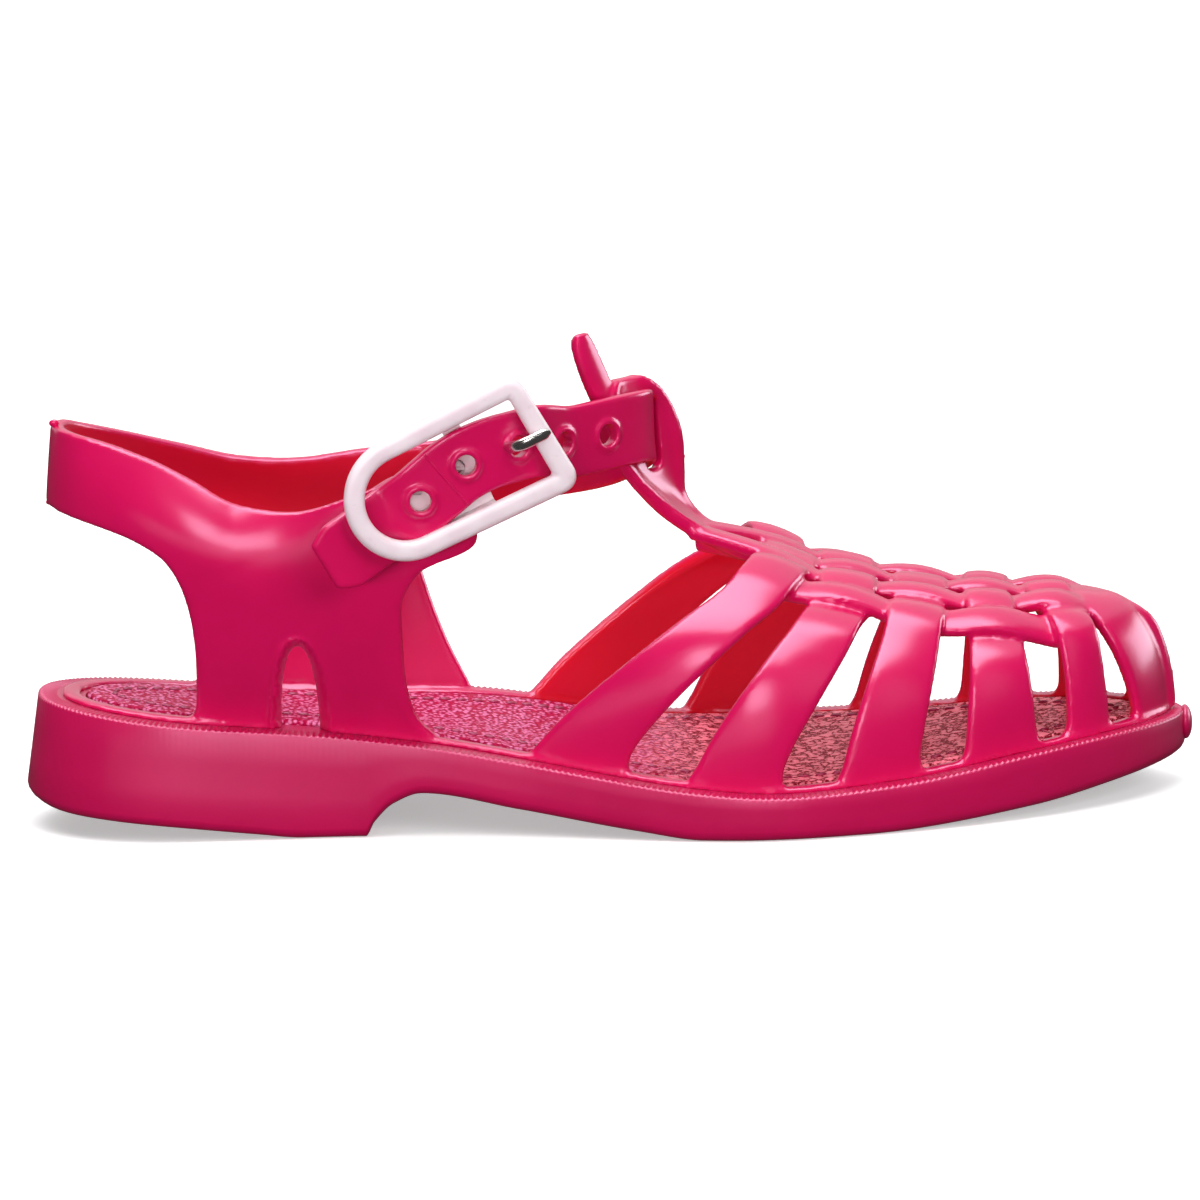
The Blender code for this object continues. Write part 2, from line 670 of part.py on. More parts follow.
def strap_path(count):
    inner = np.stack([STRAP_INNER[name] for name in "xyz"], axis=1)
    outer = [at_buckle(a, 0, o) for a, o in zip(STRAP_OUTER["along"], STRAP_OUTER["out"])]
    return spline(np.vstack([inner, outer]), count)


def strap_frames(path):
    """Up and outward directions along the strap."""
    frames = []
    for along in np.gradient(path, axis=0):
        out = unit(np.array((-along[1], along[0], 0)))
        frames.append((np.cross(unit(along), out), out))
    return frames


def circle(centre, first, second, radius, sides):
    turns = np.linspace(0, 2 * math.pi, sides, endpoint=False)
    return [centre + radius * (math.cos(a) * first + math.sin(a) * second) for a in turns]


def build_ankle_strap(collection, cutters):
    path = strap_path(STRAP_ROWS)
    grid = []
    for i, (p, (up, out)) in enumerate(zip(path, strap_frames(path))):
        half = STRAP_TIP_HALF if i == len(path) - 1 else STRAP_HALF
        grid.append([p + up * half * k for k in (-1, 0, 1)])
    strap = sheet("ankle_strap", grid, collection, STRAP_THICK, 0.0)
    path = strap_path(10 * STRAP_ROWS)
    frames = strap_frames(path)
    to_tip = np.linalg.norm(path[1] - path[0]) * np.arange(len(path))[::-1]
    hole = STRAP_HOLES
    for number in range(hole["count"]):
        i = np.abs(to_tip - hole["first"] - hole["pitch"] * number).argmin()
        up, out = frames[i]
        outline = circle(path[i], np.cross(up, out), up, hole["radius"], 10)
        cut(strap, prism(f"strap_hole_{number + 1}", outline, out, hole["half_depth"], cutters))


def frame_outline(inset):
    """The D of the buckle, straight in front and round behind, this far inside its outer edge."""
    corner = max(FRAME_CHAMFER, FRAME_CORNER - inset)
    front = FRAME_HALF_LENGTH - inset - corner
    side = FRAME_HALF_WIDTH - inset
    rear = FRAME_HALF_WIDTH - FRAME_HALF_LENGTH
    points = []
    for sign in (-1, 1):
        for a in np.radians(np.linspace(0, 90, 5)[::sign]):
            points.append((front + corner * math.cos(a), sign * (side - corner + corner * math.sin(a))))
    points += [(rear - side * math.sin(a), side * math.cos(a)) for a in np.linspace(0, math.pi, 15)]
    return points


def build_buckle_frame(cutters):
    edge, bevel, thick = FRAME_BAR, FRAME_CHAMFER, FRAME_HALF_THICK
    section = [(bevel, -thick), (0, bevel - thick), (0, thick - bevel), (bevel, thick),
               (edge - bevel, thick), (edge, thick - bevel), (edge, bevel - thick), (edge - bevel, -thick)]
    loops = [[at_buckle(along, up, out) for along, up in frame_outline(inset)] for inset, out in section]
    frame = mesh_object("buckle_frame", np.vstack(loops), band_faces(len(loops[0]), len(loops), True))
    plate = ANCHOR_PLATE
    inner, outer = FRAME_HALF_WIDTH - FRAME_BAR + GAP, plate["half"]
    channel = [(-outer, "low"), (outer, "low"), (outer, "lug"), (inner, "lug"),
               (inner, "high"), (-inner, "high"), (-inner, "lug"), (-outer, "lug")]
    middle = 0.5 * (plate["rear"] + plate["front"])
    outline = [at_buckle(middle, up, plate[out]) for up, out in channel]
    along = buckle_axes()[0]
    channel = prism("anchor_plate", outline, along, plate["front"] - middle, cutters)
    join(frame, channel)
    for name, place in RIVETS_ALONG.items():
        cut(frame, rivet_hole(name, place, cutters))
    paint(frame, "buckle_frame")


def rivet_hole(name, along, cutters):
    """Round cutter through the plate and the tab, with room round the rivet."""
    e_along, e_up, e_out = buckle_axes()
    high, low = ANCHOR_PLATE["high"] + 1, RIVET["head_low"]
    middle = at_buckle(along, 0, 0.5 * (high + low))
    outline = circle(middle, e_along, e_up, RIVET["radius"] + GAP, RIVET["sides"])
    return prism(f"{name}_hole", outline, e_out, 0.5 * (high - low), cutters)


def build_rivet(name, along):
    """Rivet flush with the plate, its head inside the tab."""
    e_along, e_up, _ = buckle_axes()
    count = RIVET["sides"]
    levels = [("head", RIVET["head_low"]), ("head", RIVET["head_high"]),
              ("radius", RIVET["head_high"]), ("radius", ANCHOR_PLATE["high"])]
    points = []
    for size, out in levels:
        points += circle(at_buckle(along, 0, out), e_along, e_up, RIVET[size], count)
    paint(tube(name, points, count), "rivet")


def build_buckle_prong(cutters):
    e_along, e_up, e_out = buckle_axes()
    path = spline([at_buckle(a, 0, o) for a, o in zip(PRONG["along"], PRONG["out"])], 16)
    points = []
    for p, along in zip(path, np.gradient(path, axis=0)):
        points += circle(p, e_up, np.cross(e_up, unit(along)), PRONG_RADIUS, 8)
    prong = tube("buckle_prong", points, 8)
    ends = [at_buckle(PRONG["along"][0], up, PRONG["out"][0]) for up in (-PRONG_PIN_HALF, PRONG_PIN_HALF)]
    pin = [p for end in ends for p in circle(end, e_along, e_out, PRONG_RADIUS, 8)]
    join(prong, tube("prong_pin", pin, 8, cutters))
    paint(prong, "buckle_prong")


def build_upper(strips, cutters):
    stations = sole_stations(8, 6.5)
    outside = lambda x: draft(x) + ledge(x) - RIM_LIP
    inside = lambda x: draft(x) + ledge(x) + WALL + RIM_LIP
    low = lambda x, y: sole_top(x, y) + GAP
    high = lambda x, y: sole_top(x, y) + GAP + RIM_HEIGHT
    loops = [level(stations, outside, low), level(stations, outside, high),
             level(stations, inside, high), level(stations, inside, low)]
    upper = mesh_object("upper", np.vstack(loops), band_faces(len(loops[0]), len(loops), True))
    for index in range(len(VAMP_STRAPS["over"])):
        build_vamp_strap(index, strips)
    for index in range(len(STRANDS["over"])):
        build_strand(index, strips)
    build_toe_cap(strips)
    build_counter(strips, cutters)
    build_tbar(strips, cutters)
    build_ankle_strap(strips, cutters)
    union = upper.modifiers.new("strips", "BOOLEAN")
    union.operation = "UNION"
    union.operand_type = "COLLECTION"
    union.collection = strips
    union.use_self = True
    for name, along in RIVETS_ALONG.items():
        cut(upper, rivet_hole(f"tab_{name}", along, cutters))
    paint(upper, "upper")


def main():
    for obj in list(bpy.data.objects):
        bpy.data.objects.remove(obj)
    strips = bpy.data.collections.new("upper_strips")
    cutters = bpy.data.collections.new("cutters")
    for collection in (strips, cutters):
        bpy.context.scene.collection.children.link(collection)
    build_outsole()
    build_insole()
    build_upper(strips, cutters)
    build_buckle_frame(cutters)
    build_buckle_prong(cutters)
    for name, along in RIVETS_ALONG.items():
        build_rivet(name, along)


main()
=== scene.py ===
# %% [markdown]
# # A moulded beach sandal
# A child's right sandal, moulded in one go from glossy magenta vinyl. The sole carries a grained insole and
# a ribbed welt. The upper is a weave of flat straps with a T-bar, an open heel and an ankle strap, and a
# milky plastic buckle with a bent metal prong closes it. The imported CAD model is the fixed frame: every
# piece below is made round it, in its place and at its scale, and then fitted to the photograph.

import math

import bpy
import numpy as np
from mathutils import Matrix, Vector


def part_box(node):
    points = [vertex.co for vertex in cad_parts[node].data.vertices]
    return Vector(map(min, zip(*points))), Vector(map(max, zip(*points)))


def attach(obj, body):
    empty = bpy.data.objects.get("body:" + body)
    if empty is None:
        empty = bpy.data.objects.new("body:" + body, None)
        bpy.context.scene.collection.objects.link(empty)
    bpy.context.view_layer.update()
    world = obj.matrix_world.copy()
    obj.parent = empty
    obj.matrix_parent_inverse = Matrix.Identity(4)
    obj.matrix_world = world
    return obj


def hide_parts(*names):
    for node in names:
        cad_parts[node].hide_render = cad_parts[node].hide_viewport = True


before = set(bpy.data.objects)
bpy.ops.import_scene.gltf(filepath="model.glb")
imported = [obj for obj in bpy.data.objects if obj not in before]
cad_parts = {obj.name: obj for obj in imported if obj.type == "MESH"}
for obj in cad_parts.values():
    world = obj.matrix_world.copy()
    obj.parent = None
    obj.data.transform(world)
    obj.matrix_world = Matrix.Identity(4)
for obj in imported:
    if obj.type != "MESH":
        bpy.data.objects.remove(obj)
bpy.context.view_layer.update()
MM = 0.001
HEEL_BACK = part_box("outsole")[0].x
SOLE_LENGTH = (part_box("outsole")[1].x - HEEL_BACK) / MM
print("frame:", sorted(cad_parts), "sole", round(SOLE_LENGTH, 1), "mm")

# %% [markdown]
# ## Tools for modelling
# All shapes are worked out in millimetres, with x from the heel back to the toe, y from the outer side
# (negative) to the inner side, and z up. A sandal could be pulled out of boxes with extrusions and bevels,
# but nearly every surface of it bends two ways. So a flat grid from the Add menu is the start of nearly
# every piece: its points are moved to a smooth surface, and modifiers then give it a wall and round its
# edges.


# %% Selecting, naming and placing
def to_frame(points):
    return np.asarray(points, float) * MM + np.array((HEEL_BACK, 0.0, 0.0))


def deselect():
    bpy.ops.object.select_all(action="DESELECT")


def pick(piece):
    deselect()
    piece.select_set(True)
    bpy.context.view_layer.objects.active = piece


def named(name):
    """The piece that was just added or joined, under its name."""
    piece = bpy.context.object
    piece.name = piece.data.name = name
    return piece


def edit_all(operator, **settings):
    """Runs one operator on the whole mesh, in edit mode."""
    bpy.ops.object.mode_set(mode="EDIT")
    bpy.ops.mesh.select_all(action="SELECT")
    operator(**settings)
    bpy.ops.object.mode_set(mode="OBJECT")


def settle(piece, place):
    """Moves a sized and turned piece to its place and writes all three into its mesh."""
    pick(piece)
    piece.location = to_frame(place)
    bpy.ops.object.transform_apply(location=True, rotation=True, scale=True)


# %% Grids and modifiers
MERGE = 1e-6


def surface(name, points):
    """A grid moved to points[row][column], in millimetres, with seams and poles merged."""
    points = np.asarray(points, float)
    down, across = points.shape[0] - 1, points.shape[1] - 1
    deselect()
    bpy.ops.mesh.primitive_grid_add(x_subdivisions=across, y_subdivisions=down, size=2)
    piece = named(name)
    flat = np.zeros(len(piece.data.vertices) * 3)
    piece.data.vertices.foreach_get("co", flat)
    flat = flat.reshape(-1, 3)
    column = np.rint((flat[:, 0] + 1) / 2 * across).astype(int)
    row = np.rint((flat[:, 1] + 1) / 2 * down).astype(int)
    piece.data.vertices.foreach_set("co", to_frame(points[row, column]).ravel())
    edit_all(bpy.ops.mesh.remove_doubles, threshold=MERGE)
    bpy.ops.object.shade_smooth()
    return piece


def modify(piece, kind, **settings):
    """Adds a modifier and applies it."""
    pick(piece)
    modifier = piece.modifiers.new(kind.lower(), kind)
    for name, value in settings.items():
        setattr(modifier, name, value)
    bpy.ops.object.modifier_apply(modifier=modifier.name)


def thicken(piece, thickness, offset, levels=2):
    """Gives a sheet its wall and rounds the edges."""
    modify(piece, "SOLIDIFY", thickness=thickness * MM, offset=offset, use_even_offset=True)
    modify(piece, "SUBSURF", levels=levels, render_levels=levels)


def cut(piece, cutter):
    modify(piece, "BOOLEAN", operation="DIFFERENCE", object=cutter, solver="EXACT")
    bpy.data.objects.remove(cutter)


def join(pieces, name):
    pick(pieces[0])
    for piece in pieces[1:]:
        piece.select_set(True)
    bpy.ops.object.join()
    return named(name)


def face_out(piece):
    """Turns the faces of a closed shape outwards."""
    pick(piece)
    edit_all(bpy.ops.mesh.normals_make_consistent, inside=False)


def seat(piece, material, slot, *nodes):
    """Paints a finished piece and lets it ride on the sandal, in place of its CAD nodes."""
    piece.data.materials.clear()
    piece.data.materials.append(material)
    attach(piece, "root")
    if nodes:
        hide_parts(*nodes)
    faces = sum(len(p.vertices) - 2 for p in piece.data.polygons)
    print(f"{piece.name}: {faces} triangles")


# %% Curves through tables
def columns(names, rows):
    """A table as one array for each named column."""
    return dict(zip(names.split(), np.array(rows, float).T))


def rows_of(table):
    return np.stack(list(table.values()), axis=1)


def table_row(table, index):
    return {name: column[index] for name, column in table.items()}


def curve(table_x, table_y, x):
    """Monotone cubic through a table, so that flat stretches stay flat."""
    x = np.asarray(x, float)
    step = np.diff(table_x)
    slope = np.diff(table_y) / step
    product = slope[:-1] * slope[1:]
    total = np.where(slope[:-1] + slope[1:] == 0, 1, slope[:-1] + slope[1:])
    tangent = np.concatenate([[slope[0]], np.where(product > 0, 2 * product / total, 0), [slope[-1]]])
    i = np.clip(np.searchsorted(table_x, x) - 1, 0, len(step) - 1)
    t = np.clip((x - table_x[i]) / step[i], 0, 1)
    start = table_y[i] * (1 + 2 * t) * (1 - t) ** 2 + tangent[i] * step[i] * t * (1 - t) ** 2
    return start + table_y[i + 1] * (3 - 2 * t) * t ** 2 + tangent[i + 1] * step[i] * t ** 2 * (t - 1)


def round_end(reach, power):
    """Share of the full width left at this share of the way to a round end."""
    return (1 - np.clip(reach, 0, 1) ** power) ** (1 / power)


def three_point(values, t):
    """Parabola through values at 0, one half and 1."""
    first, middle, last = values
    return first + t * (4 * middle - 3 * first - last) + 2 * t * t * (first - 2 * middle + last)


def run_along(points):
    """Distance along a line from its first point to each point."""
    return np.concatenate([[0], np.cumsum(np.linalg.norm(np.diff(points, axis=0), axis=1))])


def walk(points, run, at):
    """Places on a line at these distances along it."""
    return np.stack([np.interp(at, run, column) for column in points.T], axis=-1)


def spline(points, count):
    """Evenly spaced points on a smooth curve through the given ones."""
    points = np.asarray(points, float)
    padded = np.vstack([2 * points[0] - points[1], points, 2 * points[-1] - points[-2]])
    fine = []
    for a, b, c, d in zip(padded, padded[1:], padded[2:], padded[3:]):
        for t in np.linspace(0, 1, 16, endpoint=False):
            fine.append(0.5 * (2 * b + (c - a) * t + (2 * a - 5 * b + 4 * c - d) * t ** 2
                               + (3 * b - a - 3 * c + d) * t ** 3))
    fine = np.array(fine + [points[-1]])
    run = run_along(fine[:, :3])
    return walk(fine, run, np.linspace(0, run[-1], count))


def unit(vector):
    return vector / np.linalg.norm(vector)


# %% [markdown]
# ## Shader maths
# Patterns are sums and products of noises. They could be wired by hand in the Shader Editor, but a Python
# expression says the same in one line. One small class wraps a socket: arithmetic on it adds Math nodes,
# and its node method adds any other node.


# %% Wires
class Wire:
    """An output socket that takes part in arithmetic."""

    def __init__(self, tree, socket=None):
        self.tree = tree
        self.socket = socket

    def node(self, kind, settings=None, inputs=None, output=0):
        """Adds a node: its settings first, then the value or link of each input."""
        made = self.tree.nodes.new(kind)
        for name, value in (settings or {}).items():
            if name == "stops":
                ramp = made.color_ramp.elements
                while len(ramp) < len(value):
                    ramp.new(1.0)
                for stop, (place, colour) in zip(ramp, value):
                    stop.position = place
                    stop.color = colour
            else:
                setattr(made, name, value)
        for name, value in (inputs or {}).items():
            if isinstance(value, Wire):
                self.tree.links.new(value.socket, made.inputs[name])
            else:
                made.inputs[name].default_value = value
        return Wire(self.tree, made.outputs[output])

    def maths(self, operation, first, second=0.0):
        return self.node("ShaderNodeMath", {"operation": operation}, {0: first, 1: second})

    def __add__(self, other):
        return self.maths("ADD", self, other)

    def __sub__(self, other):
        return self.maths("SUBTRACT", self, other)

    def __rsub__(self, other):
        return self.maths("SUBTRACT", other, self)

    def __mul__(self, other):
        return self.maths("MULTIPLY", self, other)

    __radd__ = __add__
    __rmul__ = __mul__

    def between(self, low, high):
        """Share of the way from low to high, from 0 to 1."""
        return self.node("ShaderNodeMapRange", {"clamp": True}, {0: self, 1: low, 2: high})

    def mix(self, first, second):
        """Colour that goes from first to second as this goes from 0 to 1."""
        return self.node("ShaderNodeMix", {"data_type": "RGBA"}, {0: self, 6: first, 7: second}, 2)


def rgb(red, green, blue):
    return (red, green, blue, 1.0)


def finish_of(name, **constants):
    """A new material with its constant sockets set: returns it, a wire to start from and its shader."""
    material = bpy.data.materials.new(name)
    material.use_nodes = True
    shader = material.node_tree.nodes["Principled BSDF"]
    for socket, value in constants.items():
        shader.inputs[socket.replace("_", " ")].default_value = value
    return material, Wire(material.node_tree), shader


def drive(shader, **links):
    """Links wires to sockets of the shader."""
    for socket, wire in links.items():
        wire.tree.links.new(wire.socket, shader.inputs[socket.replace("_", " ")])


def place_of(wire):
    return wire.node("ShaderNodeTexCoord", output="Object")


def noise(wire, where, size, detail=3.0, rough=0.5):
    """Noise from 0 to 1 whose lumps are about this many millimetres across."""
    return wire.node("ShaderNodeTexNoise", None,
                     {"Vector": where, "Scale": 1 / (size * MM), "Detail": detail, "Roughness": rough})


def bump(wire, height, depth):
    """Normal of a relief that is this many millimetres deep."""
    return wire.node("ShaderNodeBump", None, {"Height": height, "Distance": depth * MM, "Strength": 1.0})


# %% [markdown]
# ## Finishes
# The vinyl is glossy and a little translucent, and its highlights have a lilac tint. Light that passes
# through a wall comes out redder. True scattering through thin walls is slow, and an export loses it, so
# the inside of the upper gets a redder colour instead: a named attribute on the mesh says how far each
# point faces the foot. A faint mottle, a soft change of gloss and a very fine skin keep the vinyl from
# looking like paint.

# %% Vinyl
VINYL = rgb(0.64, 0.003, 0.092)
VINYL_DEEP = rgb(0.56, 0.002, 0.076)
VINYL_INSIDE = rgb(0.76, 0.008, 0.03)
HIGHLIGHT_TINT = rgb(0.85, 0.74, 1.0)


def vinyl(name, gloss, shade=1.0):
    """Vinyl of this roughness, with its outside darkened to this share as painted shade."""
    material, wire, shader = finish_of(
        name, IOR=1.48, Specular_IOR_Level=1.0, Specular_Tint=HIGHLIGHT_TINT,
        Subsurface_Weight=0.08, Subsurface_Scale=0.0015, Subsurface_Radius=(1.0, 0.2, 0.25))
    where = place_of(wire)
    mottle = noise(wire, where, 9.0).between(0.35, 0.7)
    inside = wire.node("ShaderNodeAttribute", {"attribute_name": "inside"}, output="Fac")
    light, deep = (rgb(*(shade * c for c in colour[:3])) for colour in (VINYL, VINYL_DEEP))
    outer = (mottle * 0.45).mix(light, deep)
    colour = inside.between(0.15, 0.75).mix(outer, VINYL_INSIDE)
    skin = noise(wire, where, 0.55, 2.0)
    drive(shader, Base_Color=colour,
          Roughness=gloss + 0.06 * noise(wire, where, 5.0) + 0.03 * skin,
          Normal=bump(wire, skin, 0.004))
    return material


upper_vinyl = vinyl("glossy_vinyl", 0.19)
# The sole's vinyl is darkened as painted shade, for its low sides that get less light.
sole_painted_shade_vinyl = vinyl("sole_painted_shade_vinyl", 0.30, 0.84)
# The dashes' vinyl is darkened as painted shade, so that the raised dashes look like shaded grooves.
painted_shade_dash_vinyl = vinyl("dash_painted_shade_vinyl", 0.4, 0.5)
print("vinyls:", upper_vinyl.name, sole_painted_shade_vinyl.name, painted_shade_dash_vinyl.name)


# %% [markdown]
# The insole has two grains: pebbles under the heel and the waist, and a bark-like crackle under the
# forefoot. They could be modelled, but a bump gives the same low relief without millions of faces. Voronoi
# cells make the pebbles. For the crackle, a noise is folded at its middle value, which leaves thin creases.
# The colour follows the relief: painted shade darkens the hollows and the creases, and painted sheen
# lightens the tops. One soft mask along the sandal passes from one to the other, and a slight glow of
# painted light stands for light that the vinyl scatters.

# %% Insole grain
# Each pair goes from painted shade for the hollows and creases to painted sheen for the tops of the grain.
PEBBLE_SHADE_AND_SHEEN = (rgb(0.42, 0.003, 0.055), rgb(0.92, 0.24, 0.50))
BARK_SHADE_AND_SHEEN = (rgb(0.30, 0.001, 0.016), rgb(1.0, 0.22, 0.31))
CRACKLE_FROM = 92.0
CRACKLE_TO = 106.0
PEBBLE_SIZE = 0.75
BARK_SIZE = 1.45
BARK_SCALE = (0.85, 0.7, 1.0)
CREASE_WIDTH = 0.085
GRAIN_DEPTH = 0.75
# Strength of the insole's glow, which is painted light.
INSOLE_PAINTED_LIGHT = 0.27


def insole_grain():
    material, wire, shader = finish_of(
        "insole_grain", Specular_IOR_Level=0.05, Emission_Strength=INSOLE_PAINTED_LIGHT)
    where = place_of(wire)
    along = wire.node("ShaderNodeSeparateXYZ", None, {"Vector": where})
    front = along.between(HEEL_BACK + CRACKLE_FROM * MM, HEEL_BACK + CRACKLE_TO * MM)
    pebble = wire.node("ShaderNodeTexVoronoi", {"feature": "F1"},
                       {"Vector": where, "Scale": 1 / (PEBBLE_SIZE * MM), "Randomness": 1.0})
    pebbles = (1 - pebble.between(0.1, 0.75)) * 0.75 + 0.35 * noise(wire, where, 0.5)
    scaled = wire.node("ShaderNodeMapping", None, {"Vector": where, "Scale": BARK_SCALE})
    bark = noise(wire, scaled, BARK_SIZE, 4.0, 0.6)
    crease = wire.maths("ABSOLUTE", bark - 0.5).between(0.0, CREASE_WIDTH)
    barks = crease * 0.8 + 0.25 * noise(wire, where, 0.6)
    height = pebbles * (1 - front) + barks * front
    # The colour follows the height of the relief: painted shade low down, painted sheen on top.
    pebble_shade_and_sheen = pebbles.between(0.36, 0.74).mix(*PEBBLE_SHADE_AND_SHEEN)
    bark_shade_and_sheen = barks.between(0.32, 0.76).mix(*BARK_SHADE_AND_SHEEN)
    colour = front.mix(pebble_shade_and_sheen, bark_shade_and_sheen)
    drive(shader, Base_Color=colour, Emission_Color=colour,
          Roughness=0.45 - 0.18 * height,
          Normal=bump(wire, height, GRAIN_DEPTH))
    return material


grain = insole_grain()
print("insole:", grain.name)

# %% [markdown]
# The buckle is a milky plastic that lets some light in, so part of its colour is subsurface scattering, as
# a thick solid piece needs. The prong and the rivets are plated steel. Its fine brushed lines could be a
# picture, but a noise that is drawn out along x follows the metal without one.


# %% Buckle plastic and metal
MILKY_COLOURS = (rgb(0.82, 0.67, 0.73), rgb(0.88, 0.76, 0.81))
STEEL_COLOURS = (rgb(0.62, 0.60, 0.57), rgb(0.82, 0.80, 0.77))


def milky_plastic():
    material, wire, shader = finish_of(
        "milky_plastic", IOR=1.49,
        Subsurface_Weight=0.35, Subsurface_Scale=0.003, Subsurface_Radius=(1.0, 0.75, 0.85))
    where = place_of(wire)
    cloud = noise(wire, where, 4.0).between(0.3, 0.7)
    drive(shader, Base_Color=cloud.mix(*MILKY_COLOURS),
          Roughness=0.24 + 0.10 * noise(wire, where, 1.2),
          Normal=bump(wire, noise(wire, where, 0.7), 0.008))
    return material


def plated_steel():
    material, wire, shader = finish_of("plated_steel", Metallic=1.0)
    where = place_of(wire)
    drawn = wire.node("ShaderNodeMapping", None, {"Vector": where, "Scale": (0.2, 1.0, 1.0)})
    brushed = noise(wire, drawn, 0.25)
    drive(shader, Base_Color=brushed.mix(*STEEL_COLOURS),
          Roughness=0.12 + 0.16 * brushed,
          Normal=bump(wire, brushed, 0.004))
    return material


milky = milky_plastic()
plated = plated_steel()
print("buckle:", milky.name, plated.name)

# %% [markdown]
# ## The sole
# The outline of the sole drives the whole sandal: a round heel, a narrow waist, the ball and a long round
# toe. It could be drawn point by point, but a table of half widths with two rounded ends stays smooth. Each
# loop of the sole is that outline moved inwards, and the heights come from two side curves.

# %% Outline and heights
HEEL_ROUND = 26.0
HEEL_POWER = 2.2
BALL_X = 108.0
TOE_POWER = 1.75
LEDGE = 4.2
TOE_LEDGE = 2.5
FAN_START = 146.0
WALL = 2.1
RIM_LIP = 0.4
RIM_HEIGHT = 1.2
GAP = 0.3
ARCH_RISE = 1.6
ARCH_X = 72.0
ARCH_REACH = 26.0
ARCH_SIDE = 20.0
RIB_PITCH = 0.95
RIB_COLUMNS = 5
SMOOTH_RUN = 7.0
FINE_STEPS = 1500
SOLE_WIDTH = columns("x half draft", [
    (0.0, 19.4, 2.2), (26.0, 20.2, 1.3), (43.0, 20.6, 0.9), (60.0, 21.8, 0.5), (76.0, 25.0, 0.4),
    (88.0, 28.6, 0.2), (98.0, 31.6, 0.1), (106.0, 33.7, 0.0), (114.0, 35.1, 0.0), (122.0, 35.6, 0.0),
    (180.5, 35.6, 0.0),
])
SOLE_TOP = columns("x z", [
    (0.0, 21.2), (12.0, 19.5), (27.0, 17.6), (46.0, 16.0), (63.0, 13.9), (83.0, 10.6),
    (104.5, 7.5), (117.0, 6.7), (136.0, 7.6), (156.0, 10.0), (170.0, 11.2), (180.5, 11.6),
])
SOLE_BOTTOM = columns("x z", [
    (0.0, 5.2), (5.5, 3.9), (13.5, 3.1), (22.0, 2.3), (36.0, 0.7), (43.0, 0.0), (52.7, 0.0),
    (54.1, 2.2), (57.2, 5.1), (61.5, 6.6), (76.5, 4.2), (95.0, 1.2), (105.0, 0.0), (130.0, 0.0),
    (156.0, 1.8), (168.5, 3.6), (180.5, 5.4),
])


def sole_half(x):
    half = curve(SOLE_WIDTH["x"], SOLE_WIDTH["half"], x)
    half = half * round_end((HEEL_ROUND - x) / HEEL_ROUND, HEEL_POWER)
    return half * round_end((x - BALL_X) / (SOLE_LENGTH - BALL_X), TOE_POWER)


def draft(x):
    return curve(SOLE_WIDTH["x"], SOLE_WIDTH["draft"], x)


def ledge(x):
    return LEDGE + (TOE_LEDGE - LEDGE) * np.clip((x - FAN_START) / (SOLE_LENGTH - FAN_START), 0, 1)


def sole_top(x, y):
    swell = np.cos(0.5 * math.pi * np.minimum(1.0, np.abs(x - ARCH_X) / ARCH_REACH)) ** 2
    return curve(SOLE_TOP["x"], SOLE_TOP["z"], x) + ARCH_RISE * swell * np.clip(y / ARCH_SIDE, 0, 1)


def sole_bottom(x):
    return curve(SOLE_BOTTOM["x"], SOLE_BOTTOM["z"], x)


def outline_loop(count):
    """Evenly spaced outline points from the heel back round the outer side, and their inward directions."""
    x = 0.5 * SOLE_LENGTH * (1 - np.cos(np.linspace(0, math.pi, FINE_STEPS)))
    y = sole_half(x)
    loop = np.stack([np.concatenate([x, x[-2::-1]]), np.concatenate([-y, y[-2::-1]])], axis=1)
    run = run_along(loop)
    points = walk(loop, run, np.linspace(0, run[-1], count, endpoint=False))
    tangent = np.roll(points, -1, axis=0) - np.roll(points, 1, axis=0)
    inward = np.stack([-tangent[:, 1], tangent[:, 0]], axis=1)
    reach = int(SMOOTH_RUN * count / run[-1])
    inward = sum(np.roll(inward, k, axis=0) for k in range(-reach, reach + 1))
    return points, inward / np.linalg.norm(inward, axis=1)[:, None], run[-1]


PERIMETER = outline_loop(100)[2]
RIBS = int(PERIMETER / RIB_PITCH)
OUTLINE, INWARD, _ = outline_loop(RIBS * RIB_COLUMNS)


def loop_at(inset, height, points=OUTLINE, inward=INWARD):
    """The outline moved inwards, with heights, closed on itself."""
    flat = points + inward * np.broadcast_to(inset(points[:, 0]), len(points))[:, None]
    loop = np.column_stack([flat, np.broadcast_to(height(flat[:, 0], flat[:, 1]), len(flat))])
    return np.vstack([loop, loop[:1]])


def spine_of(loop, height):
    """The loop pressed flat on to the middle line."""
    x, y = loop[:, 0], 0 * loop[:, 1]
    return np.column_stack([x, y, np.broadcast_to(height(x, y), len(loop))])


print("outline", round(PERIMETER, 1), "mm round, with", RIBS, "ribs on the welt")

# %% [markdown]
# The real outsole is one thick moulding. It could be extruded from its outline, but its height changes all
# along, from the heel over the waist to the toe spring. So it is one grid: its columns run round the sole
# and its rows go from the middle of the underside, round the edge and over the welt to the middle of the
# bed. Fine ribs stand on the welt, so the columns are close enough to draw each rib.

# %% Outsole
EDGE_ROUND = 1.6
EDGE_TURNS = np.radians((22, 45, 68))
UNDERSIDE_INSET = 4.5
SIDE_ROWS = 4
SIDE_TOP_DROP = 0.5
RIB_HEIGHT = 0.36
WELT = columns("inset drop relief", [
    (0.12, 0.2, 0.25), (0.45, 0.0, 0.7), (0.9, 0.0, 1.0), (2.7, 0.0, 1.0), (3.0, 0.0, 0.0),
])
BED_DEPTH = 1.0
SHARP_EDGE = math.radians(50)


def rib_wave():
    phase = np.arange(len(OUTLINE) + 1) / RIB_COLUMNS
    return RIB_HEIGHT * (0.5 - 0.5 * np.cos(2 * math.pi * phase))


